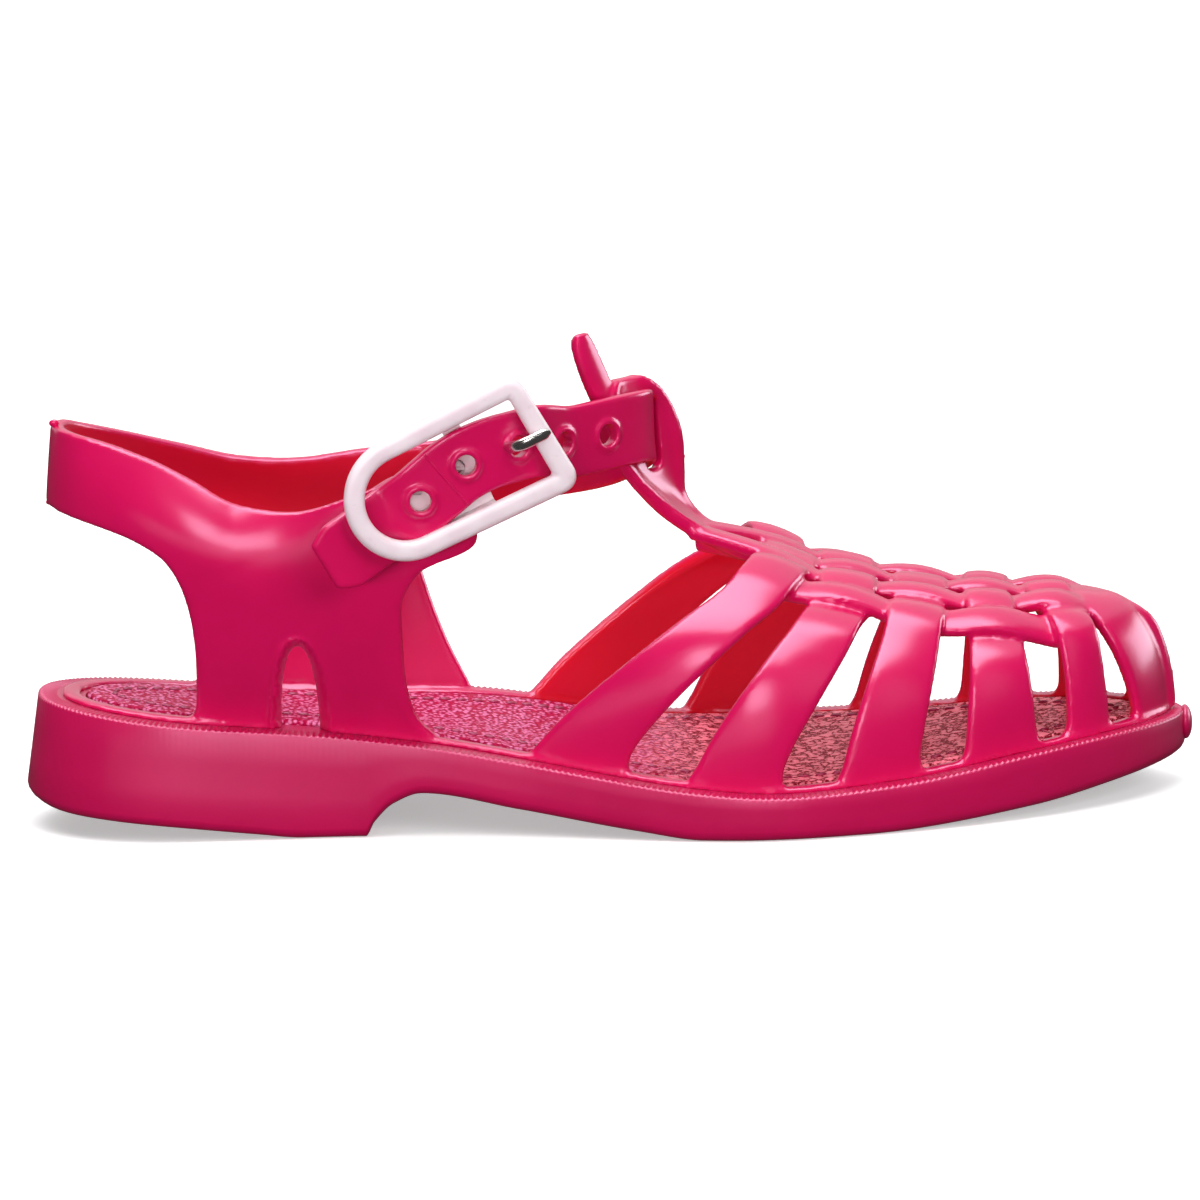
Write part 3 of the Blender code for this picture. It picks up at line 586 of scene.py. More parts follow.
def build_outsole():
    bed_inset = lambda x: draft(x) + ledge(x) + WALL + 2 * RIM_LIP + GAP
    under = lambda rise: lambda x, y: sole_bottom(x) + rise * EDGE_ROUND
    top = lambda drop: lambda x, y: sole_top(x, y) - drop
    rows = [loop_at(lambda x: UNDERSIDE_INSET, under(0)), loop_at(lambda x: EDGE_ROUND, under(0))]
    for turn in EDGE_TURNS:
        rows.append(loop_at(lambda x: EDGE_ROUND * (1 - math.sin(turn)), under(1 - math.cos(turn))))
    rows.insert(0, spine_of(rows[0], under(0)))
    for share in np.linspace(0, 1, SIDE_ROWS):
        rows.append(loop_at(lambda x: share * draft(x),
                            lambda x, y: under(1)(x, y) * (1 - share) + top(SIDE_TOP_DROP)(x, y) * share))
    ribs = rib_wave()
    for inset, drop, relief in rows_of(WELT):
        row = loop_at(lambda x: draft(x) + inset * ledge(x) / LEDGE, top(drop))
        row[:, 2] += relief * (ribs - 0.5 * RIB_HEIGHT)
        rows.append(row)
    rows.append(loop_at(bed_inset, top(0)))
    rows.append(loop_at(bed_inset, top(BED_DEPTH)))
    rows.append(spine_of(rows[-1], top(BED_DEPTH)))
    sole = surface("sandal_sole", rows)
    face_out(sole)
    bpy.ops.object.shade_smooth_by_angle(angle=SHARP_EDGE)
    seat(sole, sole_painted_shade_vinyl, "outsole", "outsole")


build_outsole()

# %% [markdown]
# The insole lies in the bed of the sole. It could be cut from the sole's top, but a grid of its own gives
# it a rounded edge. A line of short moulded dashes that imitates stitching follows that edge. One dash is
# modelled and copied along the line, because a bump would not show in its outline. The dashes are darkened
# with painted shade, so that they look like shaded grooves.

# %% Insole
INSOLE_PROUD = 0.8
INSOLE_EDGE = 0.5
INSOLE_COLUMNS = 420
INSOLE_SECTION = columns("inset rise", [
    (0.0, GAP - BED_DEPTH), (0.0, INSOLE_PROUD - INSOLE_EDGE), (0.15, INSOLE_PROUD - 0.15),
    (INSOLE_EDGE, INSOLE_PROUD), (2.0, INSOLE_PROUD), (4.5, INSOLE_PROUD), (8.0, INSOLE_PROUD),
])
STITCH_INSET = 4.2
STITCH_PITCH = 2.65
STITCH_LENGTH = 1.9
STITCH_WIDTH = 1.0
STITCH_HEIGHT = 0.38


def insole_edge(x):
    return draft(x) + ledge(x) + WALL + 2 * RIM_LIP + 2 * GAP


def build_insole():
    points, inward, _ = outline_loop(INSOLE_COLUMNS)
    lift = lambda z: lambda x, y: sole_top(x, y) + z
    rows = [loop_at(lambda x: insole_edge(x) + inset, lift(rise), points, inward)
            for inset, rise in rows_of(INSOLE_SECTION)]
    rows.insert(0, spine_of(rows[0], lift(GAP - BED_DEPTH)))
    rows.append(spine_of(rows[-1], lift(INSOLE_PROUD)))
    insole = surface("footbed", rows)
    face_out(insole)
    bpy.ops.object.shade_smooth_by_angle(angle=SHARP_EDGE)
    seat(insole, grain, "insole", "insole")


def stitch_dash():
    """One dash along x, at its size."""
    deselect()
    bpy.ops.mesh.primitive_uv_sphere_add(segments=8, ring_count=5, radius=1)
    size = (0.5 * STITCH_LENGTH * MM, 0.5 * STITCH_WIDTH * MM, STITCH_HEIGHT * MM)
    bpy.ops.transform.resize(value=size)
    return named("dash")


def build_stitches():
    line = loop_at(lambda x: insole_edge(x) + STITCH_INSET, lambda x, y: sole_top(x, y) + INSOLE_PROUD)
    run = run_along(line)
    count = int(run[-1] / STITCH_PITCH)
    model = stitch_dash()
    dashes = []
    for at in np.arange(count) * run[-1] / count:
        start, end = walk(line, run, at + np.array((0, STITCH_LENGTH)))
        along = unit(end - start)
        dash = model.copy()
        dash.data = model.data.copy()
        bpy.context.collection.objects.link(dash)
        dash.rotation_euler = (0, -math.asin(along[2]), math.atan2(along[1], along[0]))
        settle(dash, 0.5 * (start + end))
        dashes.append(dash)
    bpy.data.objects.remove(model)
    stitches = join(dashes, "footbed_dashes")
    bpy.ops.object.shade_smooth()
    seat(stitches, painted_shade_dash_vinyl, "insole")


build_insole()
build_stitches()

# %% [markdown]
# ## The last
# The upper follows a shoemaker's last. It could be a mesh that the straps are shrink-wrapped on, but a
# formula gives each strap its exact place and the way it faces. Ribs rise from the line where the upper
# meets the sole to a ridge over the instep, and round the toe they fan out. A place on the last is a rib's
# station and how far up the rib it lies.

# %% Surface of the last
SECTION_POWER = 2.8
TOE_ROUNDER = 0.55
TOE_ROUND_FROM = 158.0
FAN_SPREAD = 100.0
RIDGE_SHIFT = 1.0
FOOT_START = 0.1
RIDGE = columns("x z", [
    (78.0, 45.0), (100.0, 41.5), (112.0, 38.6), (117.0, 37.0), (122.0, 35.0), (131.0, 33.0),
    (140.0, 31.0), (149.0, 29.9), (158.0, 29.2), (163.0, 29.2), (167.0, 28.6),
])
FEATHER = loop_at(lambda x: draft(x) + ledge(x) + WALL, lambda x, y: 0 * x)[:len(OUTLINE) // 2 + 1, :2]
TOE_TIP = FEATHER[-1][0]


def section_power(x):
    return SECTION_POWER - TOE_ROUNDER * np.clip((x - TOE_ROUND_FROM) / (TOE_TIP - TOE_ROUND_FROM), 0, 1)


def feather(x, side):
    y = side * abs(np.interp(x, FEATHER[:, 0], FEATHER[:, 1]))
    return np.array((x, y, sole_top(x, y) + GAP + FOOT_START * RIM_HEIGHT))


def ridge(x):
    fan = max(0.0, x - FAN_START) ** 2 / FAN_SPREAD
    return np.array((x - fan, RIDGE_SHIFT, curve(RIDGE["x"], RIDGE["z"], x - fan)))


def rib(x, side, rise, lift=0.0):
    """Point on the rib above base station x: rise 0 at the sole, 1 on the ridge."""
    low, high = feather(x, side), ridge(x)
    angle = 0.5 * math.pi * rise
    power = section_power(x)
    c = max(0.0, math.cos(angle)) ** (2 / power)
    s = max(0.0, math.sin(angle)) ** (2 / power)
    span = low[:2] - high[:2]
    width, height = np.linalg.norm(span), high[2] - low[2]
    point = np.array((*(high[:2] + span * c), low[2] + height * s))
    normal = np.array((*(span / width * c ** (power - 1) / width), s ** (power - 1) / height))
    return point + unit(normal) * lift


def rise_at(x, y):
    side = 1 if y > RIDGE_SHIFT else -1
    share = abs(y - RIDGE_SHIFT) / abs(feather(x, side)[1] - RIDGE_SHIFT)
    return side, math.acos(min(1.0, share) ** (section_power(x) / 2)) / (0.5 * math.pi)


def on_last(x, y, lift):
    """Point of the last over this place, on the rib that passes through it."""
    base = x
    for _ in range(6):
        side, rise = rise_at(base, y)
        base += x - rib(base, side, rise)[0]
    return rib(base, side, rise, lift)


print("toe of the last at", round(TOE_TIP, 1), "mm")

# %% [markdown]
# ## The woven vamp
# Five straps cross five lengthwise strands. Odd straps pass over the outer strands and the middle one, even
# straps under them. The weave could be a bump on one sheet, but one sees through its gaps, so each strap is
# a grid across the last. It is lifted where it passes over and lowered where it passes under, wider at its
# foot, and crowned across its width.

# %% Vamp straps
WEAVE = 1.0
WEAVE_FADE = 3.1
STRAND_PITCH = 7.5
STRAND_HALF = 1.9
SPREAD_REST = 4.0
SPREAD_FULL = 26.0
VAMP_CROWN = 0.5
VAMP_ROWS = 64
RISE_POWER = 1.5
FOOT_FLARE = 1.1
FOOT_RISE = 0.011
INNER_REAR = (0.0, 0.0, 3.5, 0.8, 0.0)
HUMP = 1.8
HUMP_AT = 0.84
HUMP_REACH = 0.07
VAMP_COLUMNS = (0.0, 0.09, 0.25, 0.5, 0.75, 0.91, 1.0)
VAMP_STRAPS = columns(
    "over rear_base rear_shoulder rear_crown front_base front_shoulder front_crown", [
        (1, 79.6, 105.0, 115.5, 93.0, 114.0, 123.5),
        (-1, 103.8, 119.0, 125.0, 116.4, 128.7, 132.6),
        (1, 126.1, 133.0, 136.0, 137.8, 141.8, 143.6),
        (-1, 145.3, 146.9, 146.6, 156.2, 154.8, 153.0),
        (1, 161.3, 160.8, 157.5, 167.2, 166.6, 166.3),
    ])


def spread(x):
    return min(1.0, (abs(feather(x, -1)[1]) + SPREAD_REST) / SPREAD_FULL)


def weave(x, y):
    pitch = STRAND_PITCH * spread(x)
    fade = min(1.0, max(0.0, WEAVE_FADE - abs(y) / pitch))
    return fade * math.cos(math.pi * y / pitch)


def strap_edges(row, rise):
    rear = three_point((row["rear_base"], row["rear_shoulder"], row["rear_crown"]), rise)
    front = three_point((row["front_base"], row["front_shoulder"], row["front_crown"]), rise)
    flare = FOOT_FLARE * math.exp(-rise / FOOT_RISE)
    return rear - flare, min(front + flare, TOE_TIP)


def vamp_strap(index):
    row = table_row(VAMP_STRAPS, index)
    rises = np.linspace(0, 1, VAMP_ROWS) ** RISE_POWER
    places = [(-1, r) for r in rises] + [(1, r) for r in rises[-2::-1]]
    grid = []
    for side, rise in places:
        rear, front = strap_edges(row, rise)
        rear += INNER_REAR[index] * (1 - rise ** 4) * (side > 0)
        line = []
        for share in VAMP_COLUMNS:
            x = rear + (front - rear) * share
            crown = VAMP_CROWN * (1 - (2 * share - 1) ** 2)
            if index == 0:
                crown += HUMP * math.exp(-((rise - HUMP_AT) / HUMP_REACH) ** 2)
            y = rib(x, side, rise)[1]
            line.append(rib(x, side, rise, crown + WEAVE * row["over"] * weave(x, y)))
        grid.append(line)
    strap = surface(f"vamp_strap_{index + 1}", grid)
    thicken(strap, WALL, 1.0, 1)
    return strap


vamp = [vamp_strap(index) for index in range(len(VAMP_STRAPS["over"]))]
print("vamp straps:", len(vamp))

# %% [markdown]
# The strands run the other way, from the T-bar and the first strap to the toe cap. They rise and fall
# against the straps, so that the weave looks interlaced, draw together towards the toe, and sink into the
# toe cap there. Each is one long grid and not a row of copied links, because the straps stand at uneven
# distances. The toe cap is a grid too, with a seam that stands proud at its tip.

# %% Strands and toe cap
STRAND_CROWN = 0.55
STRAND_PART = 122.0
STRAND_PART_RUN = 17.0
STRAND_END = 166.0
STRAND_SINK = 2.3
SINK_RUN = 5.5
SINK_POWER = 1.5
SINK_NARROWING = 0.4
STRAND_ROWS = 90
STRAND_COLUMNS = (1, 0.75, 0, -0.75, -1)
STRANDS = columns("over start y_back y", [
    (-1, 114.0, -13.4, -13.7), (1, 104.0, -2.2, -7.2), (-1, 105.0, 0.0, 0.0), (1, 104.0, 2.2, 7.2),
    (-1, 114.0, 13.4, 13.7),
])
TOE_CAP_EDGE = (171.7, 168.6, 164.5)
TOE_CAP_ROWS = 30
TOE_CAP_COLUMNS = 16
SEAM = 0.5


def strap_middle(index, y):
    row = table_row(VAMP_STRAPS, index)
    x = 0.5 * (row["rear_crown"] + row["front_crown"])
    for _ in range(3):
        x = 0.5 * sum(strap_edges(row, rise_at(x, y * spread(x))[1]))
    return ridge(x)[0]


def strand(index):
    row = table_row(STRANDS, index)
    crossings = [strap_middle(i, row["y"]) for i in range(len(VAMP_STRAPS["over"]))]
    grid = []
    for x in np.linspace(row["start"], STRAND_END, STRAND_ROWS):
        y = row["y"] * spread(x)
        y += (row["y_back"] - y) * np.clip((STRAND_PART - x) / STRAND_PART_RUN, 0, 1)
        phase = np.interp(x, crossings, range(len(crossings)))
        sink = max(0.0, 1 - (STRAND_END - x) / SINK_RUN)
        lift = WEAVE * row["over"] * math.cos(math.pi * phase) - STRAND_SINK * sink ** SINK_POWER
        half = STRAND_HALF * (1 - SINK_NARROWING * sink)
        grid.append([on_last(x, y + half * k, lift + STRAND_CROWN * (1 - k * k)) for k in STRAND_COLUMNS])
    piece = surface(f"strand_{index + 1}", grid)
    thicken(piece, WALL, 1.0, 1)
    return piece


def toe_cap():
    grid = []
    for rise in np.linspace(0, 1, TOE_CAP_ROWS) ** RISE_POWER:
        rear = three_point(TOE_CAP_EDGE, rise) - FOOT_FLARE * math.exp(-rise / FOOT_RISE)
        stations = rear + (TOE_TIP - rear) * np.sin(np.linspace(0, 0.5 * math.pi, TOE_CAP_COLUMNS))
        outer = [rib(x, -1, rise) for x in stations[:-1]]
        tip = rib(TOE_TIP, 1, rise, SEAM * max(0.0, min(1.0, 3 - 4 * rise)))
        inner = [rib(x, 1, rise) for x in stations[-2::-1]]
        grid.append(outer + [tip] + inner)
    cap = surface("toe_cap", grid)
    thicken(cap, WALL, 1.0, 1)
    return cap


vamp += [strand(index) for index in range(len(STRANDS["over"]))]
vamp.append(toe_cap())
print("vamp pieces:", len(vamp))

# %% [markdown]
# ## T-bar
# The T-bar is a ribbon with a bead along each edge. It leaves the weave facing up, twists as it climbs, and
# ends in a slotted head that faces outwards and forwards. A short tongue leans back from the head. A strip
# could be bent with a curve modifier, but a table of the middle line, half width and turn says each twist
# exactly. A rounded box cuts the slot.

# %% T-bar and tongue
BEAD = 0.9
BEAD_FROM = 0.76
BEAD_FULL_HALF = 6.0
TBAR_ROWS = 70
TBAR_COLUMNS = (-1, -0.94, -0.8, -0.72, 0, 0.72, 0.8, 0.94, 1)
TONGUE_ROWS = 24
TONGUE_COLUMNS = (-1, -0.8, 0, 0.8, 1)
TONGUE_CROWN = 0.5
TBAR = columns("x y z half turn", [
    (121.0, 0.3, 35.6, 3.6, 0.0), (115.0, 0.3, 38.0, 4.0, 0.0), (110.0, 0.3, 40.2, 4.3, 0.0),
    (105.0, 0.2, 43.2, 4.6, 6.0), (101.0, 0.0, 47.2, 5.4, 20.0), (98.8, -0.6, 52.0, 7.0, 35.0),
    (97.6, -1.0, 57.0, 7.6, 44.0), (96.7, -1.2, 61.5, 7.0, 44.0), (95.8, -1.4, 65.0, 5.4, 44.0),
    (95.1, -1.6, 67.4, 2.6, 44.0),
])
TONGUE = columns("x y z half turn", [
    (93.2, -4.4, 61.5, 2.5, 44.0), (91.6, -5.4, 65.0, 2.5, 44.0), (90.1, -6.0, 69.0, 2.4, 44.0),
    (89.0, -6.2, 72.2, 2.1, 44.0), (88.4, -6.2, 74.2, 1.6, 44.0), (88.1, -6.2, 75.2, 0.8, 44.0),
])
TBAR_SLOT = {"at": (98.45, -0.2, 58.2), "turn": 44.0, "half": (6.0, 1.8, 5.6), "round": 0.9}


def ribbon(name, table, count, shares, relief):
    """A twisted ribbon along a table's middle line, with a relief over its width."""
    path = spline(rows_of(table), count)
    along = np.gradient(path[:, :3], axis=0)
    grid = []
    for (x, y, z, half, turn), way in zip(path, along):
        across = np.array((math.sin(math.radians(turn)), math.cos(math.radians(turn)), 0))
        out = unit(np.cross(across, way))
        grid.append([np.array((x, y, z)) + across * half * k + out * relief(k, half) for k in shares])
    return surface(name, grid)


def slot_cutter():
    deselect()
    bpy.ops.mesh.primitive_cube_add(size=2)
    cutter = named("slot_cutter")
    bpy.ops.transform.resize(value=tuple(half * MM for half in TBAR_SLOT["half"]))
    cutter.rotation_euler = (0, 0, -math.radians(TBAR_SLOT["turn"]))
    settle(cutter, TBAR_SLOT["at"])
    modify(cutter, "BEVEL", width=TBAR_SLOT["round"] * MM, segments=3)
    return cutter


def tbar_pieces():
    bead = lambda k, half: BEAD * min(1.0, half / BEAD_FULL_HALF) ** 2 * (abs(k) > BEAD_FROM)
    bar = ribbon("t_bar", TBAR, TBAR_ROWS, TBAR_COLUMNS, bead)
    thicken(bar, WALL, 0.0, 1)
    cut(bar, slot_cutter())
    crown = lambda k, half: TONGUE_CROWN * (1 - abs(k))
    tongue = ribbon("tongue", TONGUE, TONGUE_ROWS, TONGUE_COLUMNS, crown)
    thicken(tongue, WALL, 0.0, 2)
    return [bar, tongue]


vamp += tbar_pieces()
print("with T-bar:", len(vamp))

# %% [markdown]
# ## Base rim
# A low rim runs all round, flush with the insole, and ties the straps together on top of the welt. One ring
# would do, but then the whole upper would be fused as one piece with too many faces. So the ring is cut in
# two halves that overlap a little: the front half fuses with the vamp and the rear half with the heel.

# %% Rim
RIM_COLUMNS = 460
RIM_SPLIT = 75.0
RIM_OVERLAP = 0.6
RIM_FLUSH = 0.55
RIM_EDGE = columns("inset rise", [
    (0.0, -0.4), (0.0, RIM_FLUSH * 0.3), (0.3, RIM_FLUSH * 0.7), (0.8, RIM_FLUSH * 0.85),
])


def rim_section():
    """Closed section of the rim: insets from the ledge, and rises in shares of its height."""
    edge = rows_of(RIM_EDGE)
    outer = [(inset - RIM_LIP, rise) for inset, rise in edge]
    inner = [(WALL + RIM_LIP - inset, rise) for inset, rise in edge[::-1]]
    return outer + inner + outer[:1]


def rim_half(front):
    points, inward, _ = outline_loop(RIM_COLUMNS)
    rows = [loop_at(lambda x: draft(x) + ledge(x) + inset,
                    lambda x, y: sole_top(x, y) + GAP + rise * RIM_HEIGHT, points, inward)
            for inset, rise in rim_section()]
    rim = surface("rim_front" if front else "rim_rear", rows)
    face_out(rim)
    split = RIM_SPLIT - RIM_OVERLAP if front else RIM_SPLIT + RIM_OVERLAP
    edit_all(bpy.ops.mesh.bisect, plane_co=to_frame((split, 0, 0)), plane_no=(1, 0, 0), use_fill=True,
             clear_inner=front, clear_outer=not front)
    return rim


# %% [markdown]
# ## Fusing
# The real upper is moulded whole, so its strips melt into each other with small fillets. Booleans and
# bevels would need clean edges at every crossing. A voxel remesh takes the union of all strips at a fine
# pitch instead, and a few rounds of smoothing leave just such fillets. How far each point faces the foot is
# then kept as an attribute for the vinyl. It fades low at the heel, where the real one shows little red.

# %% Fuse
VOXEL = 0.42
VAMP_VOXEL = 0.45
SMOOTHING = 4
VAMP_SMOOTHING = 2
FOOT_AXIS = {"rear": 34.0, "front": 150.0, "height": 27.0}
GLOW = {"heel_to": 82.0, "fade": 8.0, "height": 44.0, "run": 16.0, "most": 0.9}


def mark_inside(piece):
    """Keeps how far each point faces the foot."""
    count = len(piece.data.vertices)
    place, facing = np.zeros(count * 3), np.zeros(count * 3)
    piece.data.vertices.foreach_get("co", place)
    piece.data.vertices.foreach_get("normal", facing)
    place = (place.reshape(-1, 3) - np.array((HEEL_BACK, 0, 0))) / MM
    axis = np.column_stack([np.clip(place[:, 0], FOOT_AXIS["rear"], FOOT_AXIS["front"]), 0 * place[:, 1],
                            np.minimum(place[:, 2], FOOT_AXIS["height"])])
    away = place - axis
    away /= np.maximum(np.linalg.norm(away, axis=1), 1e-6)[:, None]
    inside = np.clip(-(away * facing.reshape(-1, 3)).sum(axis=1), 0, 1)
    low_heel = np.clip((GLOW["heel_to"] - place[:, 0]) / GLOW["fade"], 0, 1)
    inside *= 1 - low_heel * np.clip((GLOW["height"] - place[:, 2]) / GLOW["run"], 0, GLOW["most"])
    attribute = piece.data.attributes.new("inside", "FLOAT", "POINT")
    attribute.data.foreach_set("value", inside.astype(np.float32))


def fuse(pieces, name, cutters=(), voxel=VOXEL, rounds=SMOOTHING):
    """Melts pieces into one skin, takes the cutters out of it and smooths it."""
    piece = join(pieces, name)
    modify(piece, "REMESH", mode="VOXEL", voxel_size=voxel * MM, use_smooth_shade=True)
    for cutter in cutters:
        cut(piece, cutter)
    modify(piece, "SMOOTH", factor=0.5, iterations=rounds)
    bpy.ops.object.shade_smooth()
    mark_inside(piece)
    return piece


woven_vamp = fuse(vamp + [rim_half(True)], "woven_vamp", voxel=VAMP_VOXEL, rounds=VAMP_SMOOTHING)
seat(woven_vamp, upper_vinyl, "upper", "upper")

# %% [markdown]
# ## Heel counter
# The counter is a band round the heel that widens into two quarters, which come down to the sole. Its top
# edge rolls in towards the ankle. It could be cut out of a heel cup, but a grid between its lower and upper
# edge lines keeps an even wall, and both lines are listed point by point. The grid is pressed on to a
# flaring heel shape.

# %% Counter
COUNTER_ROUND = 36.0
COUNTER_POWER = 2.0
COUNTER_FLARE = 7.3
FLARE_HEIGHT = 37.0
ANKLE_START = 52.0
ANKLE_REACH = 20.0
ANKLE_NARROWING = 6.0
COUNTER_BACK = (4.7, 50.5, 5.6, 63.0)
BACK_OVERRUN = 1.2
COUNTER_ROWS = 170
ROLL = columns("x amount", [
    (5.0, 0.6), (13.0, 3.6), (24.0, 4.6), (34.0, 4.6), (50.0, 1.8), (58.0, 0.4), (80.0, 0.4),
])
ROLL_CENTRE = np.array((40.0, 0.0, 0.0))
ROLL_POINTS = 8
INNER_ROLL = 0.3
ROLL_DEPTH = 13.0
ROLL_DROP = 0.19
COUNTER_COLUMNS = (0, 0.04, 0.1, 0.22, 0.36, 0.5, 0.64, 0.78, 0.9, 0.96, 1)
OUTER_QUARTER = columns("low_x low_z top_x top_z", [
    (5.2, 50.5, 6.3, 63.2), (7.0, 50.1, 9.2, 63.0), (11.3, 49.2, 17.0, 61.1), (17.5, 47.4, 25.0, 57.8),
    (22.8, 44.2, 34.0, 53.6), (24.6, 41.5, 44.0, 52.2), (25.2, 40.0, 54.0, 54.6), (25.7, 38.3, 68.6, 60.6),
    (26.3, 36.0, 72.2, 46.4), (26.9, 32.0, 62.6, 41.6), (27.1, 28.0, 59.6, 35.5), (27.0, 23.0, 59.6, 27.0),
    (26.8, 20.0, 60.6, 19.5), (26.0, 18.3, 62.4, 16.0), (24.9, 17.7, 64.8, 14.0),
])
INNER_QUARTER = columns("low_x low_z top_x top_z", [
    (5.2, 50.5, 6.3, 63.0), (7.0, 50.1, 9.2, 61.6), (11.3, 49.1, 17.0, 58.6), (17.5, 47.2, 25.0, 56.0),
    (22.8, 44.0, 34.0, 53.6), (25.4, 39.5, 44.0, 52.6), (26.4, 35.5, 54.0, 53.3), (27.0, 31.5, 64.0, 53.8),
    (27.1, 28.0, 65.5, 43.2), (27.0, 25.5, 61.6, 38.0), (26.9, 23.0, 63.2, 31.0), (26.6, 20.5, 66.0, 22.5),
    (26.2, 17.9, 69.6, 14.6),
])


def counter_point(x, z, side):
    """Point on the outside of the counter at this place along the shoe and height."""
    rise = np.clip((z - sole_top(x, 0)) / FLARE_HEIGHT, 0, 1)
    half = curve(SOLE_WIDTH["x"], SOLE_WIDTH["half"], x) - draft(x) - LEDGE
    half += COUNTER_FLARE * (1 - (1 - rise) ** 2)
    half -= ANKLE_NARROWING * rise * (max(0.0, x - ANKLE_START) / ANKLE_REACH) ** 2
    low_x, low_z, top_x, top_z = COUNTER_BACK
    back = low_x + (top_x - low_x) * min(BACK_OVERRUN, max(0.0, (z - low_z) / (top_z - low_z)))
    x = max(x, back)
    half *= round_end((COUNTER_ROUND - x) / (COUNTER_ROUND - back), COUNTER_POWER)
    return np.array((x, side * half, z))


def counter():
    rows = []
    for side, quarter in ((-1, OUTER_QUARTER), (1, INNER_QUARTER)):
        table = np.vstack([COUNTER_BACK, rows_of(quarter)])
        at = np.linspace(0, len(table) - 1, FINE_STEPS)
        edges = np.stack([curve(np.arange(len(table)), column, at) for column in table.T], axis=1)
        half = [[counter_point(low_x + (top_x - low_x) * s, low_z + (top_z - low_z) * s, side)
                 for s in COUNTER_COLUMNS] for low_x, low_z, top_x, top_z in edges]
        rows = half[::-1] if side < 0 else rows + half[1:]
    rows = np.array(rows)
    place = rows[:, :, 0]
    brim = np.interp(place, OUTER_QUARTER["top_x"][:ROLL_POINTS],
                     OUTER_QUARTER["top_z"][:ROLL_POINTS])
    roll = np.clip((rows[:, :, 2] - brim + ROLL_DEPTH) / ROLL_DEPTH, 0, 1) ** 2
    roll = roll * np.interp(place, ROLL["x"], ROLL["amount"]) * np.where(rows[:, :, 1] < 0, 1.0, INNER_ROLL)
    towards = ROLL_CENTRE - rows
    towards[:, :, 2] = 0
    towards /= np.linalg.norm(towards, axis=2)[:, :, None]
    rows = rows + towards * roll[:, :, None]
    rows[:, :, 2] -= ROLL_DROP * roll
    run = run_along(rows[:, len(COUNTER_COLUMNS) // 2])
    even = np.interp(np.linspace(0, run[-1], COUNTER_ROWS), run, np.arange(len(run)))
    rows = rows[np.rint(even).astype(int)]
    piece = surface("counter", rows)
    thicken(piece, WALL, -1.0, 1)
    return piece


# %% [markdown]
# Each quarter has a small arched slot at its foot, chamfered from outside, with a thin bead round it. The
# slot could be left open in the grid, but its arch would bend the grid's rows. So it is cut after fusing,
# with a closed grid that is narrow inside and wide outside. The bead is a thin bar along the arch and is
# fused with the counter.

# %% Quarter slots
QUARTER_SLOT = {"x": 43.2, "inner_x": 35.0, "half": 2.9, "low": 15.6, "top": 29.9, "power": 2.2,
                "edge": 1.4}
SLOT_CUTTER = {"inside": -WALL - 3.0, "step": -0.75 * WALL, "outside": 3.0, "middle": 19.6, "sides": 48}
SLOT_LIP = {"radius": 0.5, "overrun": 0.12, "points": 60, "sides": 12}


def swept_bar(name, path, axes, sides):
    """A closed bar along a path, with the two half axes of its oval section at each point."""
    turns = np.linspace(0, 2 * math.pi, sides + 1)
    rows = [[p + math.cos(a) * first + math.sin(a) * second for a in turns]
            for p, (first, second) in zip(path, axes)]
    bar = surface(name, [[path[0]] * len(turns)] + rows + [[path[-1]] * len(turns)])
    face_out(bar)
    return bar


def slot_centre(side):
    return QUARTER_SLOT["x"] if side < 0 else QUARTER_SLOT["inner_x"]


def arch_edge(turn, grow):
    """Place on the arch, grown by so much: how far from its middle, and how high."""
    slot = QUARTER_SLOT
    full = lambda share: math.copysign(abs(share) ** (2 / slot["power"]), share)
    height = slot["top"] + grow - slot["low"]
    return (slot["half"] + grow) * full(math.cos(turn)), slot["low"] + height * full(math.sin(turn))


def beside_counter(x, z, depth, side):
    """Place this far outside the counter, level with the wall in the middle of the slot."""
    return (x, side * (abs(counter_point(slot_centre(side), z, side)[1]) + depth), z)


def slot_arch(side):
    cutter, centre = SLOT_CUTTER, slot_centre(side)
    turns = np.linspace(0, 2 * math.pi, cutter["sides"] + 1)
    rows = []
    for depth in (cutter["inside"], cutter["step"], cutter["outside"]):
        grow = QUARTER_SLOT["edge"] * max(0.0, depth - cutter["step"]) / -cutter["step"]
        edge = [arch_edge(turn, grow) for turn in turns]
        rows.append([beside_counter(centre + x, max(z, QUARTER_SLOT["low"]), depth, side) for x, z in edge])
    poles = [[beside_counter(centre, cutter["middle"], depth, side)] * len(turns)
             for depth in (cutter["inside"], cutter["outside"])]
    arch = surface("slot_arch", poles[:1] + rows + poles[1:])
    face_out(arch)
    return arch


def slot_lip(side):
    """A thin bead on the counter, round the arch."""
    lip, out = SLOT_LIP, np.array((0, 1, 0))
    path = []
    for turn in np.linspace(-lip["overrun"], math.pi + lip["overrun"], lip["points"]):
        x, z = arch_edge(turn, QUARTER_SLOT["edge"])
        path.append(beside_counter(slot_centre(side) + x, z, 0.0, side))
    axes = [(lip["radius"] * unit(np.cross(way, out)), lip["radius"] * out)
            for way in np.gradient(np.array(path), axis=0)]
    return swept_bar("slot_lip", np.array(path), axes, lip["sides"])


arches = [slot_arch(side) for side in (-1, 1)]
lips = [slot_lip(side) for side in (-1, 1)]
seat(fuse([counter(), rim_half(False)] + lips, "heel_counter", arches), upper_vinyl, "upper", "upper")

